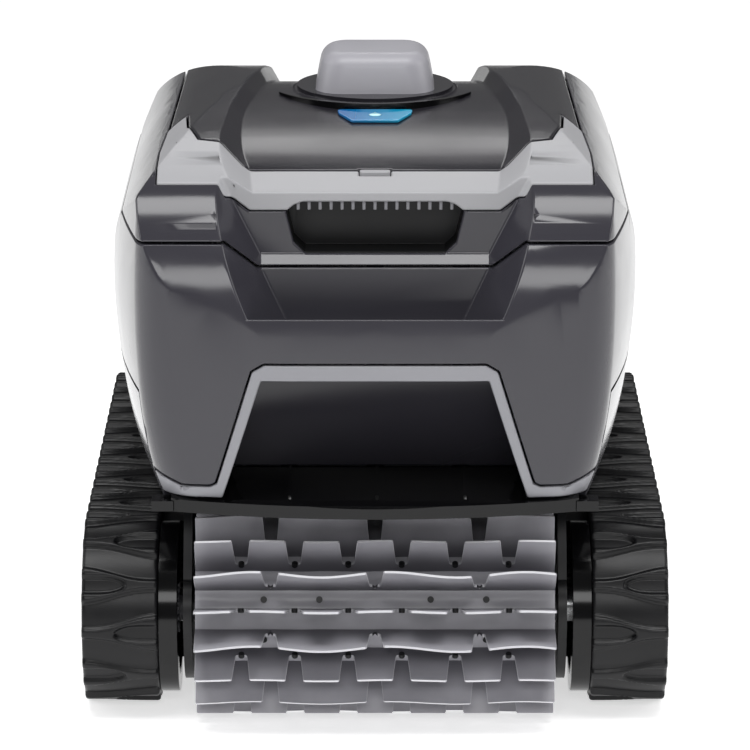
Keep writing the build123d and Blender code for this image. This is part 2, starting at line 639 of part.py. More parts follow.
with BuildPart() as side_frame:
    with BuildSketch(Plane.YZ.offset(FRAME_IN)):
        with Locations((FRONT_WHEEL_Y, WHEEL_Z), (REAR_WHEEL_Y, WHEEL_Z)):
            Circle(34)
        with Locations((BRUSH_Y, BRUSH_Z)):
            Circle(18)
        Polygon((-144, 66), (-124, DECK_Z), (150, DECK_Z), (171, 58), (140, 11), (-115, 11), align=None)
    extrude(amount=FRAME_OUT - FRAME_IN)
    add(across((80, 95), BRUSH_Y, BRUSH_Z, BRUSH_JOURNAL_R + RUNNING), mode=Mode.SUBTRACT)
    add(across((80, 95), MOTOR_Y, WHEEL_Z, DRIVE_SHAFT_R + RUNNING), mode=Mode.SUBTRACT)
    for y in (FRONT_WHEEL_Y, REAR_WHEEL_Y):
        add(across((80, 95), y, WHEEL_Z, AXLE_R), mode=Mode.SUBTRACT)
    for y, z in frame_bosses:
        add(across((TUB_HALF, FRAME_IN + 1), y, z, 6))
        add(across((TUB_HALF, 95), y, z, SCREW_R), mode=Mode.SUBTRACT)
save(side_frame.part, "right_side_frame")
save(mirrored(side_frame.part), "left_side_frame")
screws = []
for y, z in frame_bosses:
    screws += [across((74.5, FRAME_OUT), y, z, SCREW_R), across((FRAME_OUT, FRAME_OUT + 1.6), y, z, 3.2)]
save(fused(*screws, *[mirrored(screw) for screw in screws]), "frame_screws")

AXLE_END = 126.5
axle = fused(
    across((FRAME_IN, AXLE_END), REAR_WHEEL_Y, WHEEL_Z, AXLE_R),
    across((FRAME_IN - 2, FRAME_IN), REAR_WHEEL_Y, WHEEL_Z, 8),
    across((FRAME_OUT, 97.7), REAR_WHEEL_Y, WHEEL_Z, 7.5),
)
axle = cut(axle, across((112, 140), REAR_WHEEL_Y, WHEEL_Z, 1.8))
screw = fused(
    across((AXLE_END, 128.5), REAR_WHEEL_Y, WHEEL_Z, 8.5), across((112, AXLE_END), REAR_WHEEL_Y, WHEEL_Z, 1.8)
)
to_front = Location((0, FRONT_WHEEL_Y - REAR_WHEEL_Y, 0))
for piece, label in ((axle, "axles"), (screw, "axle_screws")):
    pair = [piece, piece.moved(to_front)]
    save(fused(*pair, *[mirrored(part) for part in pair]), label)

GUIDE_Z = (10.7, 78.3)
guide = cut(
    box((FRAME_OUT, 131), (FRONT_WHEEL_Y, REAR_WHEEL_Y), GUIDE_Z),
    *[across((80, 140), y, WHEEL_Z, 42) for y in (FRONT_WHEEL_Y, REAR_WHEEL_Y)],
)
guide_room = cut(
    box((FRAME_OUT - 1, 127.5), (FRONT_WHEEL_Y, REAR_WHEEL_Y), (GUIDE_Z[0] + 3, GUIDE_Z[1] - 3)),
    *[across((80, 140), y, WHEEL_Z, 45) for y in (FRONT_WHEEL_Y, REAR_WHEEL_Y)],
)
panel = cut(
    box((129.3, 140), (-66, 91), (GUIDE_Z[0] + 9, GUIDE_Z[1] - 9)),
    *[across((80, 150), y, WHEEL_Z, 50) for y in (FRONT_WHEEL_Y, REAR_WHEEL_Y)],
)
guide = cut(guide, guide_room, panel)
save(guide, "right_track_guide")
save(mirrored(guide), "left_track_guide")


# ---- gear teeth ---------------------------------------------------------------------------------

def involute(angle):
    return tan(angle) - angle


def toothed_outline(teeth, root_r, tip_r, backlash, turn):
    """Corner points of an involute gear, with one tooth pointing along an angle."""
    pitch_r = GEAR_MODULE * teeth / 2
    base_r = pitch_r * cos(PRESSURE_ANGLE)
    at_pitch = pi / (2 * teeth) - backlash / (2 * pitch_r) + involute(PRESSURE_ANGLE)
    start_r = max(base_r, root_r)
    flank = [(root_r, at_pitch)] if root_r < base_r else []
    for i in range(5):
        r = start_r + (tip_r - start_r) * i / 4
        flank.append((r, at_pitch - involute(acos(base_r / r))))
    points = []
    for tooth in range(teeth):
        middle = radians(turn) + 2 * pi * tooth / teeth
        points += [(r * cos(middle - a), r * sin(middle - a)) for r, a in flank]
        points += [(r * cos(middle + a), r * sin(middle + a)) for r, a in reversed(flank)]
    return points


def toothed(x, y, z, points):
    """A toothed prism lying along X between two limits, centred on (y, z)."""
    with BuildPart() as gear:
        with BuildSketch(Plane.YZ.offset(x[0])):
            Polygon(*[(y + u, z + v) for u, v in points], align=None)
        extrude(amount=x[1] - x[0])
    return gear.part


BACKLASH = 0.2


def wheel(turn):
    """A track wheel at the rear right, turned about its axle: rim, flange with gear, web and hub."""
    with BuildPart() as body:
        for x, radius in (((FLANGE_IN, TRACK_IN), 40), ((TRACK_IN, 134), RIM_R)):
            add(across(x, REAR_WHEEL_Y, WHEEL_Z, radius))
        add(across((TRACK_IN + 0.8, 140), REAR_WHEEL_Y, WHEEL_Z, 31.5), mode=Mode.SUBTRACT)
        ring = toothed_outline(RING_TEETH, 29.2, 31.8, -BACKLASH, 180 + turn)
        add(toothed((80, 98), REAR_WHEEL_Y, WHEEL_Z, ring), mode=Mode.SUBTRACT)
        add(across((98, 126), REAR_WHEEL_Y, WHEEL_Z, 11))
        add(across((80, 140), REAR_WHEEL_Y, WHEEL_Z, AXLE_R + RUNNING), mode=Mode.SUBTRACT)
        with BuildSketch(Plane.YZ.offset(TRACK_IN)):
            with Locations((REAR_WHEEL_Y, WHEEL_Z)):
                with PolarLocations(RIM_R, TEETH_PER_WHEEL, start_angle=turn):
                    Rectangle(2 * (RIM_R - LUG_SLOT_R), LUG_T + 1.4)
        extrude(amount=40, mode=Mode.SUBTRACT)
        for i in range(6):
            a = radians(turn + 60 * i)
            add(across((90, 105), REAR_WHEEL_Y + 20 * cos(a), WHEEL_Z + 20 * sin(a), 5), mode=Mode.SUBTRACT)
    return body.part


def wheel_cap(turn):
    """A cap for that wheel: a dished disc with five spokes standing on it."""
    with BuildPart() as cap:
        add(across((129, 131.5), REAR_WHEEL_Y, WHEEL_Z, 31.4))
        add(cut(across((131.5, 134.5), REAR_WHEEL_Y, WHEEL_Z, 31.4), across((131, 140), REAR_WHEEL_Y, WHEEL_Z, 27.5)))
        add(across((131.5, 134), REAR_WHEEL_Y, WHEEL_Z, 9))
        add(cut(across((126, 129), REAR_WHEEL_Y, WHEEL_Z, 11), across((120, 129), REAR_WHEEL_Y, WHEEL_Z, 9)))
        with BuildSketch(Plane.YZ.offset(131.5)):
            with Locations((REAR_WHEEL_Y, WHEEL_Z)):
                with PolarLocations(18, 5, start_angle=turn):
                    Rectangle(22, 6)
        extrude(amount=2.0)
    return cap.part


rear_wheel, rear_cap = wheel(0), wheel_cap(0)
front_wheel = wheel(-BRUSH_TURN).moved(to_front)
front_cap = wheel_cap(-BRUSH_TURN).moved(to_front)
for piece, label in (
    (rear_wheel, "rear_right_wheel"), (rear_cap, "rear_right_wheel_cap"),
    (front_wheel, "front_right_wheel"), (front_cap, "front_right_wheel_cap"),
):
    save(piece, label)
    save(mirrored(piece), label.replace("right", "left"))

pinion_points = toothed_outline(PINION_TEETH, 8.7, 11.6, BACKLASH / 2, 180)
drive_pinion = fused(
    toothed((91.5, 97.4), MOTOR_Y, WHEEL_Z, pinion_points), across((24, 97.4), MOTOR_Y, WHEEL_Z, DRIVE_SHAFT_R)
)
save(drive_pinion, "right_drive_pinion")
save(mirrored(drive_pinion), "left_drive_pinion")


# ---- tracks -------------------------------------------------------------------------------------

def link_place(step, radius):
    """Where a link sits at a distance from the wheels' centre line, counted from the top of the front wheel."""
    if step < SPAN_LINKS:
        return Location((FRONT_WHEEL_Y + LINK * step, WHEEL_Z + radius, 0), (0, 0, 90))
    if step < SPAN_LINKS + ARC_LINKS:
        turn, y = 90 - 360 / TEETH_PER_WHEEL * (step - SPAN_LINKS), REAR_WHEEL_Y
    elif step < 2 * SPAN_LINKS + ARC_LINKS:
        return Location((REAR_WHEEL_Y - LINK * (step - SPAN_LINKS - ARC_LINKS), WHEEL_Z - radius, 0), (0, 0, -90))
    else:
        turn, y = -90 - 360 / TEETH_PER_WHEEL * (step - 2 * SPAN_LINKS - ARC_LINKS), FRONT_WHEEL_Y
    a = radians(turn)
    return Location((y + radius * cos(a), WHEEL_Z + radius * sin(a), 0), (0, 0, turn))


with BuildPart() as track:
    with BuildSketch(Plane.YZ.offset(TRACK_IN)):
        with Locations(((FRONT_WHEEL_Y + REAR_WHEEL_Y) / 2, WHEEL_Z)):
            SlotCenterToCenter(REAR_WHEEL_Y - FRONT_WHEEL_Y, 2 * BELT_OUT_R)
        with Locations(*[link_place(i, (BELT_OUT_R + TREAD_R) / 2 - 0.2) for i in range(0, TRACK_LINKS, 2)]):
            Rectangle(TREAD_R - BELT_OUT_R + 0.4, 6.0)
        with Locations(((FRONT_WHEEL_Y + REAR_WHEEL_Y) / 2, WHEEL_Z)):
            SlotCenterToCenter(REAR_WHEEL_Y - FRONT_WHEEL_Y, 2 * BELT_IN_R, mode=Mode.SUBTRACT)
        with Locations(*[link_place(i, (BELT_IN_R + LUG_R) / 2 + 0.1) for i in range(TRACK_LINKS)]):
            Rectangle(BELT_IN_R - LUG_R + 0.2, LUG_T)
    extrude(amount=TRACK_OUT - TRACK_IN)
save(track.part, "right_track")
save(mirrored(track.part), "left_track")

# ---- brush roller -------------------------------------------------------------------------------
print("brush")
VANE_T = 1.4
VANE_ROWS = 18
JOURNAL_END = FRAME_OUT + 0.5
brush_pinion = toothed_outline(PINION_TEETH, 8.7, 11.6, BACKLASH / 2, 180 - BRUSH_TURN)
brush_core = fused(
    cut(
        across((-BRUSH_HALF, BRUSH_HALF), BRUSH_Y, BRUSH_Z, BRUSH_CORE_R),
        across((-BRUSH_HALF + 3, BRUSH_HALF - 3), BRUSH_Y, BRUSH_Z, BRUSH_CORE_R - 2.5),
    ),
    across((BRUSH_HALF, JOURNAL_END), BRUSH_Y, BRUSH_Z, BRUSH_JOURNAL_R),
    across((-97.4, -BRUSH_HALF), BRUSH_Y, BRUSH_Z, BRUSH_JOURNAL_R),
    toothed((-97.4, -90.5), BRUSH_Y, BRUSH_Z, brush_pinion),
)
save(brush_core, "brush_core")


def tabs(row):
    """Ends of the tabs of a row of the brush along X: seven even ones, or two wide and two narrow."""
    if row % 2 == 0:
        pitch = (2 * BRUSH_HALF + 6.7) / 7
        return [(-BRUSH_HALF + pitch * i, -BRUSH_HALF + pitch * (i + 1) - 6.7) for i in range(7)]
    gap, end = 6.3, 31.5
    middle = (2 * BRUSH_HALF - 3 * gap - 2 * end) / 2
    left = [(-BRUSH_HALF, -BRUSH_HALF + end), (-gap / 2 - middle, -gap / 2)]
    return left + [(-b, -a) for a, b in reversed(left)]


VANE_ROOT_R = BRUSH_CORE_R + 1.4
with BuildPart() as brush_sleeve:
    add(across((-BRUSH_HALF, BRUSH_HALF), BRUSH_Y, BRUSH_Z, VANE_ROOT_R))
    for row in range(VANE_ROWS):
        turn = radians(180 - BRUSH_TURN + 360 / VANE_ROWS * row)
        out = (0, cos(turn), sin(turn))
        with BuildSketch(Plane((0, BRUSH_Y, BRUSH_Z), x_dir=(1, 0, 0), z_dir=(0, -sin(turn), cos(turn)))):
            outwards = 1 if Plane((0, 0, 0), x_dir=(1, 0, 0), z_dir=(0, -sin(turn), cos(turn))).y_dir.dot(Vector(out)) > 0 else -1
            low, mid, high = outwards * (VANE_ROOT_R - 1), outwards * (VANE_ROOT_R + 5), outwards * BRUSH_R
            for a, b in tabs(row):
                Polygon((a, mid), (a, high), (b, high), (b, mid), align=None)
            Polygon((-BRUSH_HALF, low), (-BRUSH_HALF, mid), (BRUSH_HALF, mid), (BRUSH_HALF, low), align=None)
        extrude(amount=VANE_T / 2, both=True)
    add(across((-90, 90), BRUSH_Y, BRUSH_Z, BRUSH_CORE_R), mode=Mode.SUBTRACT)
save(brush_sleeve.part, "brush_sleeve")

# ---- front bumper and the wall behind the arch --------------------------------------------------
print("front")
with BuildPart() as front_bumper:
    with BuildSketch(Plane.YZ):
        Polygon(
            (-172, 103), (-172, 107.5), (-170, 108.8), (-160, 108.8), (-132, 116.5), (-128, 116.5), (-128, 103), align=None,
        )
    extrude(amount=93, both=True)
    with BuildSketch(Plane.XY.offset(100)):
        with BuildLine():
            ThreePointArc((-93, -158), (0, -171.5), (93, -158))
            Polyline((93, -158), (93, -147.5), (87, -147.5), (87, -120), (-87, -120), (-87, -147.5), (-93, -147.5), (-93, -158))
        make_face()
    extrude(amount=30, mode=Mode.INTERSECT)
    for x in (-39, 1, 41):
        with BuildSketch(Plane.YZ.offset(x - 0.75)):
            Polygon((-160, 108), (-158, 110.5), (-133, 117.6), (-133, 110), align=None)
        extrude(amount=1.5)
save(fused(cut(front_bumper.part, arch_frame), *[box((x, x + 10), (-159, -148), (103.2, 108)) for x in (-102, 92)]), "front_bumper")

lean = [(-150.5, 169), (-148, 169), (-128.5, 117), (-131, 117)]
with BuildPart() as scoop_wall:
    with BuildSketch(Plane.YZ):
        Polygon(*lean, align=None)
    extrude(amount=100, both=True)
with BuildPart() as scoop_zone:
    with BuildSketch(Plane.YZ):
        Polygon((-200, 169), (-148, 169), (-128.5, 117), (-200, 117), align=None)
    extrude(amount=100, both=True)
wide_arch = front_prism(arch_open, (-200, -100), grow=2.0)
tunnel = fused(cut(wide_arch, front_prism(arch_open, (-200, -100))), common(scoop_wall.part, wide_arch))
front_scoop = cut(common(tunnel, scoop_zone.part, inner), front_bumper.part)
save(front_scoop, "front_scoop")

# ---- filter basket ------------------------------------------------------------------------------
print("basket")
BASKET_PLAN = [(0, -103), (58, -103), (70, -94), (79, -90), (79, 60), (43, 60), (43, -37), (0, -37)]
BASKET_Z = (DECK_Z + DECK_T + 0.6, BASKET_TOP)
basket_block = plan_prism(BASKET_PLAN, BASKET_Z)
basket_inside = plan_prism(BASKET_PLAN, (BASKET_Z[0] + 2.4, BASKET_Z[1] + 1), grow=-2.4)
windows = []
for x in (-60, -20, 20, 60):
    windows.append(box((x - 16, x + 16), (-120, 80), (118, 226)))
for y in (-62, -12, 36):
    windows.append(box((-100, 100), (y - 20, y + 20), (118, 226)))
FLAP_HALF = 40.0
FLAP_Y = (-77.0, -51.0)
flap_hole = box((-FLAP_HALF, FLAP_HALF), FLAP_Y, (90, 112))
band = cut(basket_block, basket_inside)
flap_ears = [
    cut(
        fused(across((x, x + 3), FLAP_Y[1] + 3.0, BASKET_Z[0] + 6.0, 2.6), box((x, x + 3), (FLAP_Y[1] + 0.4, FLAP_Y[1] + 5.6), (BASKET_Z[0] + 1, BASKET_Z[0] + 6))),
        across((-60, 60), FLAP_Y[1] + 3.0, BASKET_Z[0] + 6.0, 1.25 + RUNNING),
    )
    for x in (-47, 44)
]
PIVOT_Y, PIVOT_Z = -20.0, 232.0
handle_ears = [across((x, x + 3), PIVOT_Y, PIVOT_Z, 4.5) for x in (-76.8, 73.8)]
frame = cut(fused(cut(band, *windows), *handle_ears), flap_hole, across((-100, 100), PIVOT_Y, PIVOT_Z, 2.0 + RUNNING))
save(fused(frame, *flap_ears), "filter_frame")
mesh = common(cut(plan_prism(BASKET_PLAN, BASKET_Z, grow=-0.8), plan_prism(BASKET_PLAN, BASKET_Z, grow=-1.6)), fused(*windows))
save(mesh, "filter_mesh")

# Bail of the basket, folded forwards over its rim, and the flap that closes its inlet.
with BuildPart() as bail:
    for side in (-1, 1):
        a, b = sorted((side * 70.6, side * 73.6))
        add(box((a, b), (-84, PIVOT_Y + 4), (PIVOT_Z - 2.5, PIVOT_Z + 2.5)))
        c, d = sorted((side * 73.6, side * 78.0))
        add(across((c, d), PIVOT_Y, PIVOT_Z, 2.0))
    add(box((-73.6, 73.6), (-87, -84), (PIVOT_Z - 2.5, PIVOT_Z + 2.5)))
    add(box((-30, 30), (-89, -82), (PIVOT_Z - 3.5, PIVOT_Z + 3.5)))
save(bail.part, "basket_handle")
FLAP_AXIS = (FLAP_Y[1] + 3.0, BASKET_Z[0] + 6.0)
flap = fused(
    box((-43, 43), (FLAP_Y[0] - 1.5, FLAP_AXIS[0]), (BASKET_Z[0] + 2.8, BASKET_Z[0] + 4.4)),
    across((-43.6, 43.6), FLAP_AXIS[0], FLAP_AXIS[1], 2.4),
    across((-47, 47), FLAP_AXIS[0], FLAP_AXIS[1], 1.25),
    box((-43, 43), (FLAP_AXIS[0] - 2, FLAP_AXIS[0] + 1), (BASKET_Z[0] + 2.8, BASKET_Z[0] + 6)),
)
save(flap, "inlet_flap")
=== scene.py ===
"""Looks of a robotic pool cleaner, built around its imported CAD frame. Metres, +Z up, the front faces -Y."""
import json
import math

import bmesh
import bpy
from mathutils import Matrix, Vector

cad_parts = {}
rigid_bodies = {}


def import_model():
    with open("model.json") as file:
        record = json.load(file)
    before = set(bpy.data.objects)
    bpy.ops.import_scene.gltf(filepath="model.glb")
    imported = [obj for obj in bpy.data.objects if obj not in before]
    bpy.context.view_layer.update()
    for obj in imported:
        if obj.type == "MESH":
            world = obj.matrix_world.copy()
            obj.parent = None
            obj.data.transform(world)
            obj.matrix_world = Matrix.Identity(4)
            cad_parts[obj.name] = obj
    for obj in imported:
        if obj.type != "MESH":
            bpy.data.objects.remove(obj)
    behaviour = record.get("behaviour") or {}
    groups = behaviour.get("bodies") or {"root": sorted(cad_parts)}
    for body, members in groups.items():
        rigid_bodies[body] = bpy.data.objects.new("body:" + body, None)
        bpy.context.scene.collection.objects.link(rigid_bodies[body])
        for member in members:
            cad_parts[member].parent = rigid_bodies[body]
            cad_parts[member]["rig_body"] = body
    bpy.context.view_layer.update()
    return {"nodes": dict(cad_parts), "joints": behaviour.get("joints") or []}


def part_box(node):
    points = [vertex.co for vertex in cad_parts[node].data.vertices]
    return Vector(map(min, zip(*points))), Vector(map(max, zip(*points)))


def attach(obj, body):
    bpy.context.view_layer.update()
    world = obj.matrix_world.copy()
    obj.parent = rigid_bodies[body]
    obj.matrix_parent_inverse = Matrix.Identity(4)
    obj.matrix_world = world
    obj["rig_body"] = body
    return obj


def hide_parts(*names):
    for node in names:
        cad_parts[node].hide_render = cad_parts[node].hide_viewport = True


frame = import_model()
NODES = frame["nodes"]
JOINTS = {joint["name"]: joint for joint in frame["joints"]}

MM = 0.001


def spot(joint):
    """Where a joint's axle sits."""
    return Vector(JOINTS[joint]["pos_m"])


def middle(node):
    """Centre of a CAD node's box."""
    low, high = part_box(node)
    return (low + high) / 2


# ---- materials ----------------------------------------------------------------------------------

THREAD_PITCH = 1.3
GRAIN_DEPTH = 0.02
FLOW_SCALE = 1 / 60
NOISE_LOW, NOISE_HIGH = 0.3, 0.7  # nearly all of a noise texture's values lie between these


def linear(hex_colour):
    """An sRGB hex colour as the linear value that shaders take."""
    parts = [int(hex_colour[i:i + 2], 16) / 255 for i in (1, 3, 5)]
    return tuple(p / 12.92 if p <= 0.04045 else ((p + 0.055) / 1.055) ** 2.4 for p in parts) + (1.0,)


def add_node(tree, kind, links=None, **settings):
    """Adds a shader or geometry node; links maps its inputs to values or to other nodes' outputs."""
    node = tree.nodes.new(kind)
    for key, value in settings.items():
        setattr(node, key, value)
    for key, value in (links or {}).items():
        if isinstance(value, bpy.types.NodeSocket):
            tree.links.new(value, node.inputs[key])
        else:
            node.inputs[key].default_value = value
    return node


def new_material(name):
    """An empty node material with its Principled shader and an Object coordinate in millimetres."""
    material = bpy.data.materials.new(name)
    material.use_nodes = True
    tree = material.node_tree
    shader = tree.nodes["Principled BSDF"]
    place = add_node(tree, "ShaderNodeTexCoord").outputs["Object"]
    in_mm = add_node(tree, "ShaderNodeVectorMath", {0: place, 1: (1000, 1000, 1000)}, operation="MULTIPLY")
    return material, tree, shader, in_mm.outputs["Vector"]


def noise(tree, place, scale, detail, **more):
    """The value of a noise texture whose scale counts features in a millimetre."""
    links = {"Vector": place, "Scale": scale, "Detail": detail, **more}
    return add_node(tree, "ShaderNodeTexNoise", links).outputs["Fac"]


def spread(tree, value, low, high, from_low=NOISE_LOW, from_high=NOISE_HIGH):
    """A value that runs from low to high while another runs over its own range."""
    return add_node(tree, "ShaderNodeMapRange", {
        "Value": value, "From Min": from_low, "From Max": from_high, "To Min": low, "To Max": high,
    }).outputs["Result"]


def blended(tree, factor, first, second):
    """One colour running to another."""
    links = {"Factor": factor, "A": first, "B": second}
    return add_node(tree, "ShaderNodeMix", links, data_type="RGBA").outputs["Result"]


def bumped(tree, height, depth_mm, strength):
    """The surface direction of a small relief."""
    links = {"Height": height, "Distance": depth_mm * MM, "Strength": strength}
    return add_node(tree, "ShaderNodeBump", links).outputs["Normal"]


def connect(tree, shader, **outputs):
    """Feeds node outputs into the shader; an underscore in a socket's name stands for a space."""
    for label, output in outputs.items():
        tree.links.new(output, shader.inputs[label.replace("_", " ")])


def moulded_plastic(name, colour, roughness, grain_mm=0.0, coat=0.0, wander=0.05, ior=1.46):
    """Injection-moulded thermoplastic: faint flow marks in the gloss, and a fine grain where it is matt."""
    material, tree, shader, place = new_material(name)
    shader.inputs["IOR"].default_value = ior
    shader.inputs["Coat Weight"].default_value = coat
    shader.inputs["Coat Roughness"].default_value = 0.04
    flow = noise(tree, place, FLOW_SCALE, 3.0, Roughness=0.55)
    plain = linear(colour)
    paler = tuple(c * 1.12 for c in plain[:3]) + (1,)
    connect(
        tree, shader,
        Roughness=spread(tree, flow, roughness - wander, roughness + wander),
        Base_Color=blended(tree, flow, plain, paler),
    )
    if grain_mm:
        grain = noise(tree, place, 1 / grain_mm, 2.0)
        connect(tree, shader, Normal=bumped(tree, grain, GRAIN_DEPTH, 0.6))
    return material


def moulded_rubber(name, colour, scuff):
    """Vulcanised rubber: dull, slightly dusty, with a fine pitted skin from the mould."""
    material, tree, shader, place = new_material(name)
    shader.inputs["IOR"].default_value = 1.4
    shader.inputs["Specular IOR Level"].default_value = 0.42
    pits = noise(tree, place, 1.6, 4.0, Roughness=0.6)
    patches = noise(tree, place, 1 / 25, 3.0)
    connect(
        tree, shader,
        Roughness=spread(tree, patches, 0.3, 0.42),
        Base_Color=blended(tree, patches, linear(colour), linear(scuff)),
        Normal=bumped(tree, pits, 0.04, 0.5),
    )
    return material


def brush_pvc():
    """Soft PVC sheet: satin, a little light shines through it; its edges carry a painted highlight, and it is
    painted darker towards the roots as painted shade.
    """
    material, tree, shader, place = new_material("soft grey brush PVC")
    shader.inputs["IOR"].default_value = 1.5
    shader.inputs["Subsurface Weight"].default_value = 0.12
    shader.inputs["Subsurface Radius"].default_value = (0.6, 0.6, 0.65)
    shader.inputs["Subsurface Scale"].default_value = 1.5 * MM
    # painted highlight: the tabs' tips and sides are mixed towards pale grey where thin edges catch the light
    edge = add_node(tree, "ShaderNodeAttribute", attribute_name="painted_edge_highlight").outputs["Fac"]
    # painted shade: weight that darkens the sheet towards the roots of the tabs
    root = add_node(tree, "ShaderNodeAttribute", attribute_name="root").outputs["Fac"]
    cloud = noise(tree, place, 1 / 14, 3.0)
    sheet = blended(tree, cloud, linear("#8C8B91"), linear("#A09FA5"))
    # painted shade: darker grey near the roots, where the tabs shade each other
    root_painted_shade = blended(tree, root, sheet, linear("#5B5A60"))
    connect(
        tree, shader,
        Base_Color=blended(tree, edge, root_painted_shade, linear("#D0D0D4")),
        Roughness=spread(tree, cloud, 0.34, 0.46),
    )
    return material


def stainless_steel():
    """Turned stainless steel: bright, with fine rings of tool marks."""
    material, tree, shader, place = new_material("turned stainless steel")
    shader.inputs["Metallic"].default_value = 1.0
    shader.inputs["Base Color"].default_value = linear("#C9CACC")
    marks = noise(tree, place, 2.0, 2.0)
    connect(tree, shader, Roughness=spread(tree, marks, 0.22, 0.38))
    return material


def badge_lens():
    """Doming resin over a printed disc: deep blue running to aqua, under a clear hard coat."""
    material, tree, shader, place = new_material("blue doming resin")
    shader.inputs["Roughness"].default_value = 0.12
    shader.inputs["Coat Weight"].default_value = 1.0
    shader.inputs["Coat Roughness"].default_value = 0.02
    parts = add_node(tree, "ShaderNodeSeparateXYZ", {0: place})
    across = spread(tree, parts.outputs["X"], 0.0, 1.0, from_low=-15.0, from_high=15.0)
    connect(tree, shader, Base_Color=blended(tree, across, linear("#0566A8"), linear("#0A9BC4")))
    return material


def woven_nylon():
    """Monofilament nylon cloth: threads over and under in both directions, with dark gaps between."""
    material, tree, shader, place = new_material("woven nylon cloth")
    shader.inputs["Sheen Weight"].default_value = 0.2
    shader.inputs["Roughness"].default_value = 0.45
    parts = add_node(tree, "ShaderNodeSeparateXYZ", {0: place})
    along = add_node(tree, "ShaderNodeMath", {0: parts.outputs["X"], 1: parts.outputs["Y"]}, operation="ADD")
    warp = thread_wave(tree, along.outputs[0])
    weft = thread_wave(tree, parts.outputs["Z"])
    cloth = add_node(tree, "ShaderNodeMath", {0: warp, 1: weft}, operation="MAXIMUM").outputs[0]
    connect(
        tree, shader,
        Base_Color=blended(tree, cloth, linear("#55585A"), linear("#D2D4D2")),
        Normal=bumped(tree, cloth, 0.15, 0.8),
    )
    return material


def thread_wave(tree, distance):
    """1 on the crown of each thread and 0 between threads, along a distance in millimetres."""
    per_mm = 2 * math.pi / THREAD_PITCH
    turns = add_node(tree, "ShaderNodeMath", {0: distance, 1: per_mm}, operation="MULTIPLY")
    wave = add_node(tree, "ShaderNodeMath", {0: turns.outputs[0]}, operation="SINE")
    return spread(tree, wave.outputs[0], 0.0, 1.0, from_low=-0.6, from_high=0.6)


def floor_paint():
    """Matt white studio floor with the faintest unevenness."""
    material, tree, shader, place = new_material("white studio floor")
    cloud = noise(tree, place, 1 / 400, 2.0)
    connect(tree, shader, Base_Color=blended(tree, cloud, linear("#F1F1F1"), linear("#F6F6F6")))
    shader.inputs["Roughness"].default_value = 0.6
    shader.inputs["Emission Color"].default_value = linear("#FFFFFF")
    shader.inputs["Emission Strength"].default_value = 0.6
    return material


CASING = moulded_plastic("gunmetal gloss ABS", "#333238", 0.15, wander=0.02, ior=1.5)
LID = moulded_plastic("gunmetal satin gloss ABS", "#232227", 0.22, wander=0.03)
BAND = moulded_plastic("pale grey satin ABS", "#9B9B9E", 0.4, grain_mm=0.5)
FRAME_GREY = moulded_plastic("mid grey satin ABS", "#88888D", 0.34, grain_mm=0.5)
HOOD = moulded_plastic("hood grey satin ABS", "#97969C", 0.36, grain_mm=0.5)
GLOSS_BLACK = moulded_plastic("gloss black ABS", "#070708", 0.13, wander=0.03, ior=1.36)
MATT_BLACK = moulded_plastic("matt black polypropylene", "#101012", 0.42, grain_mm=0.7, ior=1.38)
BASKET = moulded_plastic("charcoal polypropylene", "#3A3A3E", 0.5, grain_mm=0.7)
TRACK_RUBBER = moulded_rubber("black track rubber", "#08080A", "#0E0E10")
SEAL_RUBBER = moulded_rubber("soft seal rubber", "#101010", "#1A1A1A")
BRUSH = brush_pvc()
STEEL = stainless_steel()
LENS = badge_lens()
DROP = moulded_plastic("pale aqua print", "#A9E2EE", 0.2, coat=0.8)
NYLON = woven_nylon()
CAN = moulded_plastic("black coated steel can", "#222226", 0.4, grain_mm=1.2)
BOARD = moulded_plastic("green solder mask", "#0C4A2A", 0.35)


def dress(material, *names):
    """Gives CAD nodes that stay as they are their material."""
    for name in names:
        mesh = NODES[name].data
        mesh.materials.clear()
        mesh.materials.append(material)


# ---- meshes -------------------------------------------------------------------------------------

SHARP_ANGLE = 20.0
FLAT_ANGLE = 0.6
WELD = 4e-6
MERGE = 2e-6


def linked(name, data):
    """A new object of the scene, at the origin."""
    piece = bpy.data.objects.new(name, data)
    bpy.context.scene.collection.objects.link(piece)
    return piece


def from_form(name, form, material):
    """A mesh object made of a bmesh, which is used up."""
    mesh = bpy.data.meshes.new(name)
    form.to_mesh(mesh)
    form.free()
    mesh.materials.append(material)
    return linked(name, mesh)


def new_piece(name, vertices, faces, material, smooth=True):
    """A mesh object at the origin, from points in metres."""
    mesh = bpy.data.meshes.new(name)
    mesh.from_pydata([tuple(v) for v in vertices], [], faces)
    mesh.materials.append(material)
    tidy_mesh(mesh, smooth)
    return linked(name, mesh)


def tidy_mesh(mesh, smooth):
    """Merges doubles, turns faces outwards and sets the shading."""
    form = bmesh.new()
    form.from_mesh(mesh)
    bmesh.ops.remove_doubles(form, verts=form.verts, dist=MERGE)
    bmesh.ops.recalc_face_normals(form, faces=form.faces)
    form.to_mesh(mesh)
    form.free()
    if smooth:
        mesh.shade_smooth()
    else:
        mesh.shade_flat()


def bake_modifiers(piece):
    """Turns a piece with its modifiers into a plain mesh."""
    bpy.context.view_layer.update()
    depsgraph = bpy.context.evaluated_depsgraph_get()
    mesh = bpy.data.meshes.new_from_object(piece.evaluated_get(depsgraph))
    piece.modifiers.clear()
    piece.data = mesh
    return piece


def keep(piece, body, slot, *nodes):
    """Lets a finished piece ride on a body, in place of CAD nodes; the slot argument is not used."""
    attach(piece, body)
    if nodes:
        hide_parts(*nodes)
    return piece


def round_edges(piece, width_mm, segments, angle, clamp=True):
    """A modifier that rounds the edges steeper than an angle."""
    bevel = piece.modifiers.new("rounded edges", "BEVEL")
    bevel.width = width_mm * MM
    bevel.segments = segments
    bevel.limit_method = "ANGLE"
    bevel.angle_limit = math.radians(angle)
    bevel.use_clamp_overlap = clamp
    return bevel


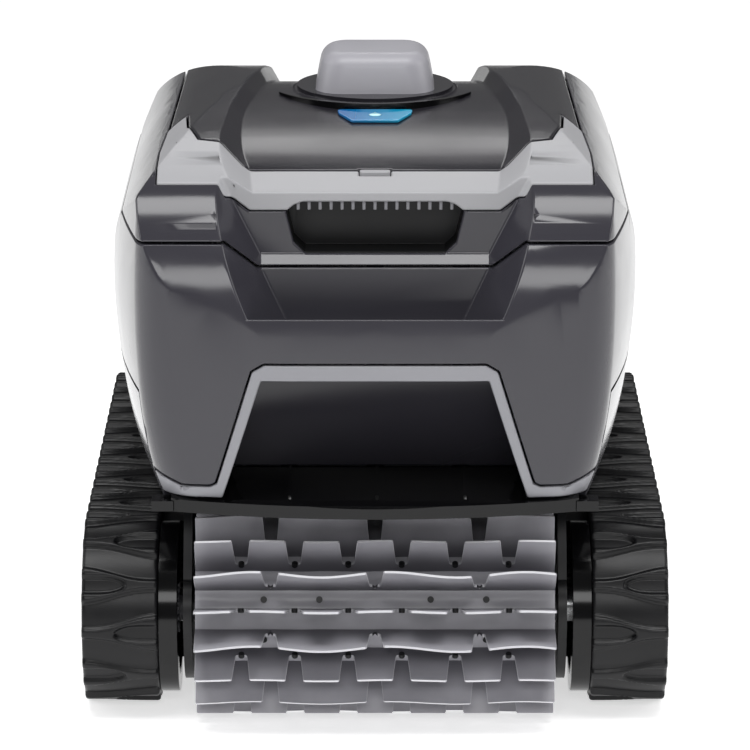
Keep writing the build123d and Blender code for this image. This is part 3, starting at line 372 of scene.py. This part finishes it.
def welded(mesh):
    """One surface out of a CAD shell's triangles, with its flat faces whole and its sharp edges marked."""
    form = bmesh.new()
    form.from_mesh(mesh)
    bmesh.ops.remove_doubles(form, verts=form.verts, dist=WELD)
    bmesh.ops.dissolve_limit(
        form, angle_limit=math.radians(FLAT_ANGLE), verts=form.verts, edges=form.edges,
        use_dissolve_boundaries=False,
    )
    form.to_mesh(mesh)
    form.free()
    mesh.shade_smooth()
    mesh.set_sharp_from_angle(angle=math.radians(SHARP_ANGLE))


def moulding(node, material, slot, edge_mm, segments=2, clamp=True, crowned=False):
    """A CAD shell as a moulding: its sharp edges rounded as a mould leaves them."""
    piece = linked(node + "_moulding", NODES[node].data.copy())
    piece.data.materials.clear()
    piece.data.materials.append(material)
    welded(piece.data)
    bevel = round_edges(piece, edge_mm, segments, SHARP_ANGLE, clamp)
    bevel.harden_normals = not crowned
    if crowned:
        weigh = piece.modifiers.new("large faces lead", "WEIGHTED_NORMAL")
        weigh.keep_sharp = True
    bake_modifiers(piece)
    return keep(piece, NODES[node]["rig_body"], slot, node)


def grid_faces(rows, columns, closed=False):
    """Quads of a grid of points, counted row by row; closed joins the last row to the first."""
    faces = []
    for row in range(rows if closed else rows - 1):
        for column in range(columns - 1):
            a = row * columns + column
            b = ((row + 1) % rows) * columns + column
            faces.append((a, b, b + 1, a + 1))
    return faces


def smoothstep(low, high, value):
    """0 below low, 1 above high, with an even run between them."""
    t = min(1.0, max(0.0, (value - low) / (high - low)))
    return t * t * (3 - 2 * t)


# ---- geometry node trees ------------------------------------------------------------------------

def new_tree(name, inputs):
    """A geometry node tree with a mesh output and named inputs of sizes."""
    tree = bpy.data.node_groups.new(name, "GeometryNodeTree")
    tree.interface.new_socket("Geometry", in_out="OUTPUT", socket_type="NodeSocketGeometry")
    tree.interface.new_socket("Geometry", in_out="INPUT", socket_type="NodeSocketGeometry")
    for label, kind in inputs.items():
        tree.interface.new_socket(label, in_out="INPUT", socket_type="NodeSocket" + kind)
    return tree, add_node(tree, "NodeGroupInput").outputs


def end_tree(tree, instances, sizes):
    """Realizes the instances and sets the material."""
    real = add_node(tree, "GeometryNodeRealizeInstances", {"Geometry": instances})
    links = {"Geometry": real.outputs[0], "Material": sizes["Material"]}
    dressed = add_node(tree, "GeometryNodeSetMaterial", links)
    add_node(tree, "NodeGroupOutput", {"Geometry": dressed.outputs[0]})


def grow(name, tree, values):
    """A plain mesh piece from a geometry node tree and the values of its named inputs."""
    piece = linked(name, bpy.data.meshes.new(name))
    modifier = piece.modifiers.new("shape", "NODES")
    modifier.node_group = tree
    for socket in tree.interface.items_tree:
        if socket.in_out == "INPUT" and socket.name in values:
            modifier[socket.identifier] = values[socket.name]
    return bake_modifiers(piece)


def ring_tree():
    """Copies of one mesh turned about an axle that runs along X."""
    tree, sizes = new_tree("copies about an axle", {
        "Copy": "Object", "Count": "Int", "Axle": "Vector", "First Angle": "Float", "Material": "Material",
    })
    points = add_node(tree, "GeometryNodePoints", {"Count": sizes["Count"], "Position": sizes["Axle"]})
    index = add_node(tree, "GeometryNodeInputIndex").outputs[0]
    step = add_node(tree, "ShaderNodeMath", {0: 2 * math.pi, 1: sizes["Count"]}, operation="DIVIDE")
    turn = add_node(tree, "ShaderNodeMath", {
        0: index, 1: step.outputs[0], 2: sizes["First Angle"],
    }, operation="MULTIPLY_ADD")
    rotation = add_node(tree, "ShaderNodeCombineXYZ", {"X": turn.outputs[0]})
    copy = add_node(tree, "GeometryNodeObjectInfo", {"Object": sizes["Copy"]})
    placed = add_node(tree, "GeometryNodeInstanceOnPoints", {
        "Points": points.outputs[0], "Instance": copy.outputs["Geometry"], "Rotation": rotation.outputs[0],
    })
    end_tree(tree, placed.outputs[0], sizes)
    return tree


def row_tree():
    """Copies of one mesh in a straight row."""
    tree, sizes = new_tree("copies in a row", {
        "Copy": "Object", "Count": "Int", "Start": "Vector", "Step": "Vector", "Material": "Material",
    })
    line = add_node(tree, "GeometryNodeMeshLine", {
        "Count": sizes["Count"], "Start Location": sizes["Start"], "Offset": sizes["Step"],
    })
    copy = add_node(tree, "GeometryNodeObjectInfo", {"Object": sizes["Copy"]})
    placed = add_node(tree, "GeometryNodeInstanceOnPoints", {
        "Points": line.outputs[0], "Instance": copy.outputs["Geometry"],
    })
    end_tree(tree, placed.outputs[0], sizes)
    return tree


RING_TREE = ring_tree()
ROW_TREE = row_tree()


def ring_of(name, copy, count, axle, first_angle, material):
    """Copies of a mesh about an axle; the mesh itself is used up."""
    piece = grow(name, RING_TREE, {
        "Copy": copy, "Count": count, "Axle": axle, "First Angle": first_angle, "Material": material,
    })
    bpy.data.objects.remove(copy)
    return piece


def row_of(name, copy, count, start, step, material):
    """Copies of a mesh in a row; the mesh itself is used up."""
    piece = grow(name, ROW_TREE, {
        "Copy": copy, "Count": count, "Start": start, "Step": step, "Material": material,
    })
    bpy.data.objects.remove(copy)
    return piece


def joined(name, *pieces):
    """Several pieces as one mesh."""
    form = bmesh.new()
    for piece in pieces:
        form.from_mesh(piece.data)
    whole = from_form(name, form, pieces[0].data.materials[0])
    for piece in pieces:
        bpy.data.objects.remove(piece)
    return whole


# ---- brush roller -------------------------------------------------------------------------------

BRUSH_HALF = 82.5
BRUSH_TIP_R = 49.4
SLEEVE_R = 27.4
GAP_BOTTOM_R = 33.0
VANE_THICK = 1.4
TIP_ROUND = 0.7
TIP_TAPER = 1.5
GAP_ROUND = 1.2
RIM = 0.35
# strength of the painted highlight at a tab's tip and along its sides
TIP_HIGHLIGHT, SIDE_HIGHLIGHT = 0.9, 0.35
TAB_COLUMNS = 15
SWAY_PERIOD, SWAY_PHASE = 62.0, 0.9
ROWS = 9  # rows of even tabs, and as many of wide ones
FIRST_ROW = 75.0
ROW_STEP = 20.0
EVEN_GAP = 3.35  # half widths of the gaps between tabs
WIDE_GAP = 3.15
WIDE_TAB = 31.5
EVEN_WAVE, WIDE_WAVE = 0.4, 1.3
TAB_PITCH = (2 * BRUSH_HALF + 2 * EVEN_GAP) / 7


def tab_edge(radius, middle_of_gap, half_gap, side, outer_end):
    """Where a tab's edge is at some distance from the axle: a U-shaped gap below, a round at the tip."""
    if outer_end:
        edge = middle_of_gap
    elif radius < GAP_BOTTOM_R:
        return middle_of_gap
    else:
        rise = min(1.0, (radius - GAP_BOTTOM_R) / GAP_ROUND)
        foot = half_gap - TIP_TAPER / 2
        edge = middle_of_gap + side * (foot - GAP_ROUND * (1 - math.sqrt(1 - (1 - rise) ** 2)))
        edge += side * TIP_TAPER * (radius - GAP_BOTTOM_R) / (BRUSH_TIP_R - GAP_BOTTOM_R)
    into_corner = radius - (BRUSH_TIP_R - TIP_ROUND)
    if into_corner > 0:
        edge += side * (TIP_ROUND - math.sqrt(max(0.0, TIP_ROUND ** 2 - into_corner ** 2)))
    return edge


def tab_radii():
    """Distances from the axle at which a tab's outline is drawn, closer together at its curves."""
    root = [SLEEVE_R - 0.8, SLEEVE_R + 2.5, GAP_BOTTOM_R]
    curve = [GAP_BOTTOM_R + d for d in (0.01, 0.2, 0.5, 0.85, 1.2)]
    blade = [GAP_BOTTOM_R + d for d in (3.5, 6.0, 8.5, 11.0, 13.5)]
    corner = [1 - math.sin(math.radians(angle)) for angle in (0, 30, 60, 90)]
    tip = [BRUSH_TIP_R - TIP_ROUND - 0.5] + [BRUSH_TIP_R - TIP_ROUND * part for part in corner]
    return root + curve + blade + tip


def tab_point(radius, column, side, ends, half_gaps, wave):
    """A point on one face of a tab; its blade thins and sways towards the tip."""
    left, right = ends
    low = tab_edge(radius, left, half_gaps[0], 1, left <= -BRUSH_HALF)
    high = tab_edge(radius, right, half_gaps[1], -1, right >= BRUSH_HALF)
    x = low + RIM + (high - low - 2 * RIM) * (column - 1) / (TAB_COLUMNS - 3)
    if column == 0:
        x = low
    if column == TAB_COLUMNS - 1:
        x = high
    blade = max(0.0, (radius - SLEEVE_R) / (BRUSH_TIP_R - SLEEVE_R))
    sway = wave * blade ** 1.6 * math.sin(2 * math.pi * x / SWAY_PERIOD + SWAY_PHASE)
    half = VANE_THICK / 2 * (1 - 0.25 * blade)
    return Vector((x, sway + side * half, radius)) * MM


def tab_skin(form, marks, side, ends, half_gaps, wave):
    """One face of a tab as rows of vertices, weighted for the painted edge highlight and for the painted
    shade near the root.
    """
    painted_edge_highlight, root = marks
    radii = tab_radii()
    grid = []
    for radius in radii:
        line = []
        for column in range(TAB_COLUMNS):
            vertex = form.verts.new(tab_point(radius, column, side, ends, half_gaps, wave))
            on_side = column in (0, TAB_COLUMNS - 1) and radius > GAP_BOTTOM_R
            # painted highlight on the tip row and on the side columns
            vertex[painted_edge_highlight] = TIP_HIGHLIGHT if radius == radii[-1] else SIDE_HIGHLIGHT if on_side else 0.0
            # painted shade weight: 1 at the root, falling to 0 towards the tip
            vertex[root] = 1 - smoothstep(SLEEVE_R + 2, BRUSH_TIP_R - 4, radius)
            line.append(vertex)
        grid.append(line)
    return grid


def tab_mesh(form, marks, ends, half_gaps, wave):
    """One tab of a vane, standing along +Z over the axle, with its two faces joined round its outline."""
    front = tab_skin(form, marks, -1.0, ends, half_gaps, wave)
    back = tab_skin(form, marks, 1.0, ends, half_gaps, wave)
    rows = len(front)
    last = TAB_COLUMNS - 1
    for row in range(rows - 1):
        for column in range(last):
            corners = ((row, column), (row, column + 1), (row + 1, column + 1), (row + 1, column))
            form.faces.new([front[r][c] for r, c in corners])
            form.faces.new([back[r][c] for r, c in (corners[0], corners[3], corners[2], corners[1])])
    outline = [(row, 0) for row in range(2 if ends[0] > -BRUSH_HALF else 0, rows)]
    outline += [(rows - 1, column) for column in range(1, TAB_COLUMNS)]
    outline += [(row, last) for row in range(rows - 2, 1 if ends[1] < BRUSH_HALF else -1, -1)]
    for (r1, c1), (r2, c2) in zip(outline, outline[1:]):
        form.faces.new((front[r1][c1], front[r2][c2], back[r2][c2], back[r1][c1]))


def vane(name, gaps, wave):
    """A row of tabs across the brush; gaps lists the gaps' middles and half widths, ends included."""
    form = bmesh.new()
    for mark in ("painted_edge_highlight", "root"):
        form.verts.layers.float.new(mark)
    marks = [form.verts.layers.float[mark] for mark in ("painted_edge_highlight", "root")]
    for (left, left_gap), (right, right_gap) in zip(gaps, gaps[1:]):
        tab_mesh(form, marks, (left, right), (left_gap, right_gap), wave)
    bmesh.ops.remove_doubles(form, verts=form.verts, dist=1e-6)
    bmesh.ops.recalc_face_normals(form, faces=form.faces)
    piece = from_form(name, form, BRUSH)
    round_edges(piece, 0.25, 2, 50)
    return bake_modifiers(piece)


def brush_sleeve():
    """The soft sleeve: rows of seven even tabs between rows of wide ones, on a gently rippled tube."""
    axle = spot("brush_spin")
    axle = Vector((0, axle.y, axle.z))
    ends = [(-BRUSH_HALF, 0), (BRUSH_HALF, 0)]
    even = ends[:1] + [(-BRUSH_HALF - EVEN_GAP + TAB_PITCH * i, EVEN_GAP) for i in range(1, 7)] + ends[1:]
    outer = BRUSH_HALF - WIDE_TAB - WIDE_GAP
    wide = ends[:1] + [(x, WIDE_GAP) for x in (-outer, 0, outer)] + ends[1:]
    first = math.radians(FIRST_ROW)
    second = first + math.radians(ROW_STEP)
    rows_even = ring_of("even_vanes", vane("even_vane", even, EVEN_WAVE), ROWS, axle, first, BRUSH)
    rows_wide = ring_of("wide_vanes", vane("wide_vane", wide, WIDE_WAVE), ROWS, axle, second, BRUSH)
    sleeve = joined("brush_vanes", rows_even, rows_wide, sleeve_tube(axle))
    keep(sleeve, "brush", "brush_grey", "brush_sleeve")
    keep(sleeve_holes(axle, first), "brush", "inner_black")


def sleeve_tube(axle):
    """The tube that carries the vanes, with soft ripples between them."""
    rows, columns = 144, 60
    points = []
    for row in range(rows):
        angle = 2 * math.pi * row / rows
        for column in range(columns):
            x = -BRUSH_HALF + 2 * BRUSH_HALF * column / (columns - 1)
            ripple = 0.45 * math.cos(2 * ROWS * (angle - math.radians(90 + FIRST_ROW)))
            ripple += 0.2 * math.sin(x / 4.6) * math.sin(ROWS * angle)
            radius = SLEEVE_R + 0.25 + ripple
            points.append(axle + Vector((x, radius * math.cos(angle), radius * math.sin(angle))) * MM)
    return new_piece("brush_tube", points, grid_faces(rows, columns, closed=True), BRUSH)


def painted_hole_shade(name, radius, depth, direction, place):
    """The painted shade of a small round hole: a black shallow cup that stands just proud of a surface."""
    form = bmesh.new()
    aim = direction.to_track_quat("Z", "Y").to_matrix().to_4x4()
    bmesh.ops.create_cone(
        form, cap_ends=True, segments=16, radius1=radius * MM, radius2=radius * MM, depth=depth * MM,
        matrix=Matrix.Translation(place) @ aim,
    )
    return from_form(name, form, MATT_BLACK)


def sleeve_holes(axle, first):
    """Vent holes at the foot of the gaps between even tabs, and between the rows, drawn as black cups of
    painted shade rather than cut.
    """
    rings = []
    for i in range(1, 7):
        place = Vector((-BRUSH_HALF - EVEN_GAP + TAB_PITCH * i, 0, GAP_BOTTOM_R - 0.6)) * MM
        hole = painted_hole_shade("gap_hole", 1.3, VANE_THICK + 0.7, Vector((0, 1, 0)), place)
        rings.append(ring_of(f"gap_holes_{i}", hole, ROWS, axle, first, MATT_BLACK))
    between = first - math.radians(ROW_STEP / 2)
    for x in (-51.0, -25.5, 25.5, 51.0):
        hole = painted_hole_shade("tube_hole", 1.5, 1.2, Vector((0, 0, 1)), Vector((x, 0, SLEEVE_R - 0.1)) * MM)
        rings.append(ring_of(f"tube_holes_{x:.0f}", hole, ROWS, axle, between, MATT_BLACK))
    return joined("brush_holes", *rings)


# ---- tracks -------------------------------------------------------------------------------------

SPAN_LINKS = 26
ARC_LINKS = 12
LINK = 9.8
TRACK_IN, TRACK_OUT = 100.0, 135.0
BELT_IN_R, RECESS_R, TREAD_R, LUG_R = 36.6, 42.2, 44.5, 34.4
STATIONS_PER_LINK = 16
TREAD_COLUMNS = 45
EDGE_ROUND = 1.5


def belt_frame(step):
    """Point on the wheels' centre path and the outward direction there, for a place counted in links."""
    front, rear = spot("front_right_wheel_spin"), spot("rear_right_wheel_spin")
    if step < SPAN_LINKS:
        return Vector((0, front.y + LINK * MM * step, front.z)), Vector((0, 0, 1))
    if step < SPAN_LINKS + ARC_LINKS:
        turn = math.radians(90 - 180 * (step - SPAN_LINKS) / ARC_LINKS)
        return Vector((0, rear.y, rear.z)), Vector((0, math.cos(turn), math.sin(turn)))
    if step < 2 * SPAN_LINKS + ARC_LINKS:
        return Vector((0, rear.y - LINK * MM * (step - SPAN_LINKS - ARC_LINKS), rear.z)), Vector((0, 0, -1))
    turn = math.radians(-90 - 180 * (step - 2 * SPAN_LINKS - ARC_LINKS) / ARC_LINKS)
    return Vector((0, front.y, front.z)), Vector((0, math.cos(turn), math.sin(turn)))


def bar_height(along, from_open):
    """0 to 1: how much one Y-shaped bar stands up, this far from its middle line and from its open edge."""
    stem = 1.7 + 5.2 * (1 - smoothstep(0, 33, from_open)) ** 1.3
    raised = 1 - smoothstep(stem - 0.5, stem + 1.0, along)
    groove = 3.4
    if from_open > 8:
        groove *= math.sqrt(max(0.0, 1 - ((from_open - 8) / 12) ** 2))
    if from_open < 20:
        raised *= smoothstep(groove - 0.7, groove + 0.7, along)
    return raised


def tread_radius(step, x):
    """Outer surface of the belt: Y-shaped bars open at the outer and the inner edge by turns."""
    height = 0.0
    for bar in (math.floor(step / 2), math.floor(step / 2) + 1):
        along = abs(step - 2 * bar) * LINK
        from_open = TRACK_OUT - x if bar % 2 == 0 else x - TRACK_IN
        height = max(height, bar_height(along, from_open))
    radius = RECESS_R + (TREAD_R - RECESS_R) * height
    from_edge = min(x - TRACK_IN, TRACK_OUT - x)
    if from_edge < EDGE_ROUND:
        radius -= EDGE_ROUND - math.sqrt(EDGE_ROUND ** 2 - (EDGE_ROUND - from_edge) ** 2)
    return radius


def track(side, label):
    """One endless rubber track with its tread and its inner lugs."""
    stations = 2 * (SPAN_LINKS + ARC_LINKS) * STATIONS_PER_LINK
    edge = [TRACK_IN, TRACK_IN + 0.2, TRACK_IN + 0.7]
    pitch = TRACK_OUT - TRACK_IN - 2 * EDGE_ROUND
    inner = [TRACK_IN + EDGE_ROUND + pitch * i / (TREAD_COLUMNS - 1) for i in range(TREAD_COLUMNS)]
    across = edge + inner + [TRACK_OUT - (x - TRACK_IN) for x in reversed(edge)]
    points = []
    for station in range(stations):
        step = station / STATIONS_PER_LINK
        centre, out = belt_frame(step)
        ring = [(x, tread_radius(step, x)) for x in across]
        ring += [(TRACK_OUT, BELT_IN_R), (TRACK_IN, BELT_IN_R), ring[0]]
        points += [centre + out * (radius * MM) + Vector((side * x * MM, 0, 0)) for x, radius in ring]
    faces = grid_faces(stations, len(across) + 3, closed=True)
    belt = new_piece(label + "_belt", points, faces, TRACK_RUBBER)
    keep(belt, "hull", "track_rubber", label)
    keep(track_lugs(side, label), "hull", "track_rubber")


def track_lugs(side, label):
    """The drive lugs on the belt's inner face."""
    points, faces = [], []
    half = [(0.9, LUG_R), (1.4, LUG_R + 0.5), (1.4, BELT_IN_R + 0.3)]
    profile = [(-along, radius) for along, radius in reversed(half)] + half
    count = len(profile)
    for link in range(2 * (SPAN_LINKS + ARC_LINKS)):
        centre, out = belt_frame(link)
        ahead = Vector((0, -out.z, out.y))
        first = len(points)
        for x in (TRACK_IN + 0.3, TRACK_OUT - 0.3):
            base = centre + Vector((side * x * MM, 0, 0))
            points += [base + (out * radius + ahead * along) * MM for along, radius in profile]
        far = first + count
        faces += [(first + i, first + i + 1, far + i + 1, far + i) for i in range(count - 1)]
        faces.append(tuple(range(first, far)))
        faces.append(tuple(reversed(range(far, far + count))))
    return new_piece(label + "_lugs", points, faces, TRACK_RUBBER, smooth=False)


# ---- casings ------------------------------------------------------------------------------------

FLANGE_T = 1.75
FLANGE_FROM = 34.5  # faces of the hood's foot that reach farther out than this belong to the flange


def casings():
    """The hard shells, each with the small rounds of its mould on every edge."""
    moulding("upper_casing", CASING, "casing_grey", 0.9, segments=3, clamp=False)
    moulding("lower_casing", CASING, "casing_grey", 0.9, segments=3, clamp=False)
    for side in ("left", "right"):
        moulding(side + "_side_skirt", CASING, "casing_grey", 1.0)
    moulding("carry_handle", BAND, "band_grey", 0.9, clamp=False)
    moulding("arch_frame", FRAME_GREY, "band_grey", 0.9, clamp=False)
    moulding("lid", LID, "lid_grey", 0.8, clamp=False, crowned=True)
    moulding("lid_button", BAND, "band_grey", 0.5)
    hood_with_dark_flange()
    moulding("lid_crescent", GLOSS_BLACK, "trim_black", 0.8)
    moulding("badge", LENS, "badge_blue", 0.5)
    moulding("front_scoop", LID, "lid_grey", 0.6, clamp=False)
    moulding("front_bumper", GLOSS_BLACK, "trim_black", 0.7)
    moulding("chassis", MATT_BLACK, "inner_black", 0.4)
    moulding("grip_pocket", MATT_BLACK, "inner_black", 0.3)
    moulding("cable_gland", MATT_BLACK, "inner_black", 0.6)


def hood_with_dark_flange():
    """The hood over the outlet; the flat ring round its foot has the lid's finish."""
    hood = moulding("outlet_hood", HOOD, "hood_grey", 0.8)
    hood.data.materials.append(LID)
    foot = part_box("outlet_hood")[0].z + FLANGE_T * MM
    axis = middle("outlet_hood").xy
    points = hood.data.vertices
    for face in hood.data.polygons:
        reach = max((points[i].co.xy - axis).length for i in face.vertices)
        if face.center.z < foot and reach > FLANGE_FROM * MM:
            face.material_index = 1


def drive_parts():
    """Wheels, hub caps, guides and frames at both sides."""
    for corner in ("front_left", "front_right", "rear_left", "rear_right"):
        moulding(corner + "_wheel", GLOSS_BLACK, "trim_black", 0.4)
        moulding(corner + "_wheel_cap", GLOSS_BLACK, "trim_black", 0.6)
    for side in ("left", "right"):
        moulding(side + "_track_guide", MATT_BLACK, "inner_black", 0.6)
        dress(MATT_BLACK, side + "_side_frame")
        dress(BASKET, side + "_drive_pinion")
        dress(CAN, side + "_drive_motor")
    dress(BASKET, "brush_core")
    dress(STEEL, "axles", "axle_screws", "frame_screws", "hinge_pin", "latch_spring", "pump_shaft")


def inner_parts():
    """What shows only when the lid is open or from underneath."""
    moulding("underside_plate", MATT_BLACK, "inner_black", 0.5)
    moulding("filter_frame", BASKET, "basket_plastic", 0.5)
    moulding("basket_handle", BASKET, "basket_plastic", 0.7)
    moulding("inlet_flap", SEAL_RUBBER, "seal_rubber", 0.3)
    moulding("pump_duct", BASKET, "inner_black", 0.4)
    moulding("impeller", MATT_BLACK, "inner_black", 0.3)
    moulding("outlet_grille", MATT_BLACK, "inner_black", 0.3)
    dress(NYLON, "filter_mesh")
    dress(SEAL_RUBBER, "lid_seal", "pump_seal", "housing_seal")
    dress(MATT_BLACK, "motor_housing", "motor_cover", "gland_nut")
    dress(CAN, "pump_motor")
    dress(BOARD, "control_board")


# ---- small details ------------------------------------------------------------------------------

FIN_PITCH = 5.0
FIN_COUNT = 15
FIN_SIZE = (1.5, 1.2, 4.6)
BACK_RIB_SIZE = (1.2, 0.9, 9.0)
BADGE_TILT = 6.0
DROP_R = 3.0
DROP_POINTS = 40
HEAD_PROFILE = [(0.0, 1.3), (1.6, 1.25), (2.6, 0.9), (3.1, 0.35), (3.2, -0.5)]
HEAD_TURNS = 24
PLATE_INSET = 7.0
GUIDE_FACE = 129.4
GUIDE_SCREW_PITCH = 54.0
GUIDE_SCREW_START = -42.0
GUIDE_INSET = 16.0


def block(name, size, bevel_mm, material):
    """A box about the origin with rounded edges; sizes in millimetres."""
    form = bmesh.new()
    bmesh.ops.create_cube(form, size=1.0, matrix=Matrix.Diagonal(Vector(size) * MM).to_4x4())
    bmesh.ops.bevel(
        form, geom=form.edges[:], offset=bevel_mm * MM, segments=2, profile=0.5, affect="EDGES",
        clamp_overlap=True,
    )
    piece = from_form(name, form, material)
    piece.data.shade_smooth()
    return piece


def grip_fins():
    """Front edges of the ribs that hang in the grip slot, and the faint ribs on the pocket's back wall."""
    low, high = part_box("grip_pocket")
    slot_top = high.z - 1.3 * MM
    half_row = (FIN_COUNT - 1) / 2 * FIN_PITCH * MM
    step = Vector((FIN_PITCH * MM, 0, 0))
    fin = block("fin_edge", FIN_SIZE, 0.3, FRAME_GREY)
    start = Vector((-half_row, low.y + 1.4 * MM, slot_top - 2.2 * MM))
    keep(row_of("grip_fin_edges", fin, FIN_COUNT, start, step, FRAME_GREY), "hull", "band_grey")
    rib = block("back_rib", BACK_RIB_SIZE, 0.25, CASING)
    start = Vector((-half_row, high.y - 2.2 * MM, slot_top - 18.0 * MM))
    keep(row_of("grip_back_ribs", rib, FIN_COUNT, start, step, CASING), "hull", "casing_grey")


def badge_drop():
    """A plain drop on the badge: a round below a point."""
    tilt = Matrix.Rotation(math.radians(BADGE_TILT), 4, "X")
    ring = []
    for i in range(DROP_POINTS):
        turn = 2 * math.pi * i / DROP_POINTS
        rise = max(0.0, math.sin(turn))
        x = DROP_R * math.cos(turn) * (1 - rise ** 1.5)
        ring.append(Vector((x, 2.6 * math.sin(turn) + 1.8 * rise ** 3, 0)))
    foot = middle("badge") + Vector((0, -0.8, 0.86)) * MM
    base = [foot + tilt @ (p * MM) for p in ring]
    top = [foot + tilt @ ((p * 0.86 + Vector((0, 0, 0.22))) * MM) for p in ring]
    count = len(ring)
    faces = [(i, (i + 1) % count, count + (i + 1) % count, count + i) for i in range(count)]
    faces.append(tuple(range(count, 2 * count)))
    faces.append(tuple(reversed(range(count))))
    keep(new_piece("badge_drop", base + top, faces, DROP), "lid", "badge_blue")


def screw_head(name, out):
    """A pan head with a cross recess, facing a direction."""
    turns = HEAD_TURNS
    aim = out.to_track_quat("Z", "Y").to_matrix()
    points = []
    for radius, height in HEAD_PROFILE:
        for i in range(turns):
            turn = 2 * math.pi * i / turns
            x, y = radius * math.cos(turn), radius * math.sin(turn)
            in_cross = radius < 2.0 and min(abs(x), abs(y)) < 0.5
            points.append(aim @ (Vector((x, y, height - (0.9 if in_cross else 0.0))) * MM))
    faces = grid_faces(len(HEAD_PROFILE), turns)
    for ring in range(len(HEAD_PROFILE) - 1):
        first, above = ring * turns, (ring + 1) * turns
        faces.append((first + turns - 1, first, above, above + turns - 1))
    return new_piece(name, points, faces, STEEL)


def plate_screws():
    """Two rows of screws that hold the bottom plate."""
    low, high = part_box("underside_plate")
    inset = PLATE_INSET * MM
    step = Vector((0, (high.y - low.y - 2 * inset) / 4, 0))
    rows = []
    for side in (-1, 1):
        start = Vector((side * (high.x - inset), low.y + inset, low.z + 0.3 * MM))
        head = screw_head("plate_screw", Vector((0, 0, -1)))
        rows.append(row_of(f"plate_screws_{side}", head, 5, start, step, STEEL))
    keep(joined("bottom_plate_screws", *rows), "hull", "steel")


def guide_screws(side, label):
    """Two rows of screws that hold a track guide."""
    low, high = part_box(label + "_track_guide")
    step = Vector((0, GUIDE_SCREW_PITCH, 0)) * MM
    rows = []
    for z in (low.z + GUIDE_INSET * MM, high.z - GUIDE_INSET * MM):
        start = Vector((side * GUIDE_FACE * MM, GUIDE_SCREW_START * MM, z))
        head = screw_head("guide_screw", Vector((side, 0, 0)))
        rows.append(row_of(f"guide_row_{label}", head, 3, start, step, STEEL))
    keep(joined(label + "_guide_screws", *rows), "hull", "steel")


# ---- studio -------------------------------------------------------------------------------------

EYE = Vector((0, -2.123, 0.6865))
EYE_PITCH = 75.2
LENS_MM = 215.5
FLOOR_HALF = 6.0
FLOOR_DROP = 0.0002
TARGET = (0, 0, 0.14)


def softbox(name, place, width, height, power):
    """A large rectangular lamp aimed at the middle of the cleaner."""
    lamp = bpy.data.lights.new(name, "AREA")
    lamp.shape = "RECTANGLE"
    lamp.size = width
    lamp.size_y = height
    lamp.energy = power
    holder = linked(name, lamp)
    holder.location = place
    holder.rotation_euler = (Vector(TARGET) - Vector(place)).to_track_quat("-Z", "Y").to_euler()


def white_room():
    """An even white surrounding light, and a pale floor."""
    world = bpy.data.worlds.new("white room")
    world.use_nodes = True
    background = world.node_tree.nodes["Background"]
    background.inputs["Color"].default_value = linear("#FFFFFF")
    background.inputs["Strength"].default_value = 0.16
    bpy.context.scene.world = world
    half = FLOOR_HALF
    corners = [(-half, -half, 0), (half, -half, 0), (half, half, 0), (-half, half, 0)]
    floor = new_piece("floor", corners, [(0, 1, 2, 3)], floor_paint())
    floor.location.z = -FLOOR_DROP


def studio():
    """The room, a softbox on every side and above, and the camera."""
    softbox("left softbox", (-1.5, -0.1, 0.9), 0.8, 1.0, 7)
    softbox("right softbox", (1.5, -0.1, 0.9), 0.8, 1.0, 7)
    softbox("top softbox", (0, -0.5, 1.7), 1.6, 0.6, 22)
    softbox("rear softbox", (0, 2.0, 1.9), 1.6, 0.5, 8)
    softbox("front softbox", (0, -2.4, 1.3), 1.4, 0.6, 15)
    white_room()
    bpy.context.scene.view_settings.view_transform = "Standard"
    camera = bpy.data.cameras.new("camera")
    camera.lens = LENS_MM
    camera.sensor_width = 36
    holder = linked("camera", camera)
    holder.location = EYE
    holder.rotation_euler = (math.radians(EYE_PITCH), 0, 0)
    bpy.context.scene.camera = holder


casings()
drive_parts()
inner_parts()
brush_sleeve()
track(1, "right_track")
track(-1, "left_track")
grip_fins()
badge_drop()
plate_screws()
guide_screws(-1, "left")
guide_screws(1, "right")
studio()
